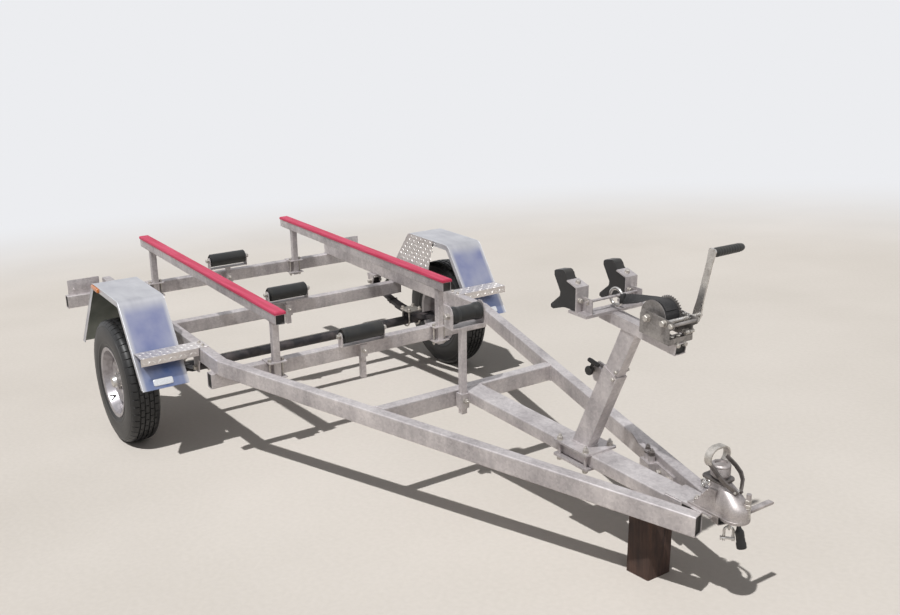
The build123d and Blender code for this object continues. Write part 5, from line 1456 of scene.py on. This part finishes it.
# Safety chain: bright welded links from an eye bolt on the left rail, over the coupling and down to a
# shackle with a screwed pin.
CHAIN_ROUTE = [(2.900, 0.098, 0.614), (2.984, 0.068, 0.672), (3.034, 0.064, 0.640), (3.036, 0.064, 0.512)]
LINK_PITCH = 0.0300
LINK_HALF = 0.0192
LINK_SIDE = 0.0122
LINK_R = 0.0035
SHACKLE_R = 0.0046
SHACKLE_BOW = 0.0150
SHACKLE_LEG = 0.0270
EYE_X = 2.884
EYE_Y = 0.1035
EYE_Z = 0.6035
EYE_R = 0.0105
PIN_HEAD = 0.0120
PIN_START = 0.0080
PIN_END = 0.0062


def spaced(points, gap):
    """Places at equal distances along a line of points, each with its direction."""
    places = []
    travelled = 0.0
    for start, end in zip(points, points[1:]):
        length = (end - start).length
        while len(places) * gap <= travelled + length:
            share = (len(places) * gap - travelled) / length
            places.append((start.lerp(end, share), (end - start).normalized()))
        travelled += length
    return places


chain = bmesh.new()
for index, (middle, way) in enumerate(spaced(rounded_route(CHAIN_ROUTE, 0.042), LINK_PITCH)):
    flat = way.cross(Vector((0, 1, 0))).normalized()
    other = flat.cross(way)
    normal = flat + other if index % 2 else flat - other
    sideways = way.cross(normal).normalized()
    link = []
    for step in range(20):
        a = 2 * pi * (step + 0.5) / 20
        straight = (LINK_HALF - LINK_SIDE) * (1 if cos(a) > 0 else -1)
        link.append(middle + way * (straight + LINK_SIDE * cos(a)) + sideways * LINK_SIDE * sin(a))
    bar(chain, link, LINK_R, 8, closed=True)
# the shackle hangs in the last link, square to it
across = normal.normalized()
bow = middle + way * (LINK_HALF - LINK_R - SHACKLE_R + SHACKLE_BOW)
ends = [bow + way * SHACKLE_LEG + across * SHACKLE_BOW * side for side in (-1, 1)]
arc = [bow - SHACKLE_BOW * (cos(a) * across + sin(a) * way) for a in [*circle(28)[:14], pi]]
bar(chain, [ends[0], *arc, ends[1]], SHACKLE_R, 12)
for end in ends:
    bar(chain, [end - across * 0.0048, end + across * 0.0048], 0.0092, 20)
bar(chain, [ends[0] - across * PIN_START, ends[1] + across * PIN_END], 0.0050, 16)
bar(chain, [ends[0] - across * PIN_HEAD, ends[0] - across * PIN_START], 0.0078, 16)
eye = [(EYE_X + EYE_R * cos(a), EYE_Y, EYE_Z + EYE_R * sin(a)) for a in circle(18)]
bar(chain, eye, 0.0034, 8, closed=True)
bar(chain, [(EYE_X, EYE_Y, 0.586), (EYE_X, EYE_Y, 0.594)], 0.0045, 12)
disc(chain, (EYE_X, EYE_Y, 0.588), (0, 0, 1), 0.011, 0.002, 24)
settle("bright_chain", chain, bright, ["safety_chain"])


# Jockey wheel bracket: its plate is bolted to the left rail, and the clamp's two tall nuts and handle
# stand over it.
BRACKET_X = 2.600
BRACKET_Z = 0.494
BOLTS_ALONG = (0.058, 0.118, 0.146)
CLAMP_OUT = 0.021
# distance along the rail, height and width of the clamp's handle
CLAMP_HANDLE = [
    (0.000, 0.1000, 0.020), (-0.004, 0.1000, 0.0215), (-0.066, 0.1000, 0.0205), (-0.078, 0.1025, 0.020),
    (-0.112, 0.1150, 0.020), (-0.132, 0.1190, 0.019), (-0.136, 0.1193, 0.015),
]
rail_way = Vector((cos(LEG), -sin(LEG), 0))
inward = Vector((-sin(LEG), -cos(LEG), 0))
bracket_foot = Vector((*leg_edge(1, BRACKET_X - RAIL_W / 2 * sin(LEG), -RAIL_W / 2), BRACKET_Z))


def by_bracket(along, out, rise):
    """A point near the bracket's foot: along the rail, out from it towards the drawbar, and up."""
    return bracket_foot + rail_way * along + inward * out + Vector((0, 0, rise))


bolts = bmesh.new()
for along in BOLTS_ALONG:
    fastener(bolts, by_bracket(along, 0.010, 0.042), inward, 0.017)
settle("jockey_bracket_bolts", bolts, bolt_zinc)
nuts = bmesh.new()
fastener(nuts, by_bracket(0.016, CLAMP_OUT, 0.092), (0, 0, 1), 0.021, 0.009)
turned(nuts, [(0, 0), (0.0135, 0), (0.0140, 0.001), (0.0140, 0.003), (0.0125, 0.0038), (0, 0.0038)],
       place(by_bracket(-0.014, CLAMP_OUT, 0.0918), (0, 0, 1)), 24)
fastener(nuts, by_bracket(-0.014, CLAMP_OUT, 0.1048), (0, 0, 1), 0.017, 0.006)
settle("jockey_clamp_nuts", nuts, dark_cast)
handle = bmesh.new()
strip(handle, [by_bracket(along, CLAMP_OUT, rise) for along, rise, _ in CLAMP_HANDLE],
      inward, [wide for *_, wide in CLAMP_HANDLE], 0.0088)
settle("jockey_clamp_handle", handle, galvanised, crease=50)


# Timber block: an offcut of dark sawn hardwood under the drawbar, its edges worn and its end grain
# up. It stands on the ground, which slopes in the level trailer's frame.
TIMBER_X = 2.745
TIMBER_TOP_Z = 0.538
TIMBER_SIDE = 0.1094
TIMBER_LEVELS = 24
timber, tree, shader = new_skin("old_timber", Roughness=0.85)
spot = object_spot(tree)
fibres = noise_mask(tree, stretched(tree, spot, (80.0, 80.0, 4.0)), 1.0, 6.0, 0.3, 0.7)
blotches = noise_mask(tree, spot, 12.0, 4.0, 0.3, 0.75)
tint(tree, shader, mixed(tree, fibres, 0.6, blotches), (38, 27, 24), (84, 62, 52))
relief(tree, shader, fibres, 0.003, 0.7)
ground_z = AXLE_Z - AXLE_Z / cos(NOSE_DOWN)
block = bmesh.new()
rings = []
for level in range(TIMBER_LEVELS + 1):
    share = level / TIMBER_LEVELS
    ring = []
    for x, y in rounded_outline(TIMBER_SIDE, TIMBER_SIDE, 0.005, 3):
        u = TIMBER_X + x * (1 - 0.004 * sin(7 * share + 40 * y))
        low = ground_z + u * tan(NOSE_DOWN)
        v = y * (1 - 0.004 * sin(5 * share + 50 * x))
        ring.append(block.verts.new((u, v, low + share * (TIMBER_TOP_Z - low))))
    rings.append(ring)
joined(block, rings)
settle("timber_offcut", block, timber, ["timber_block"])
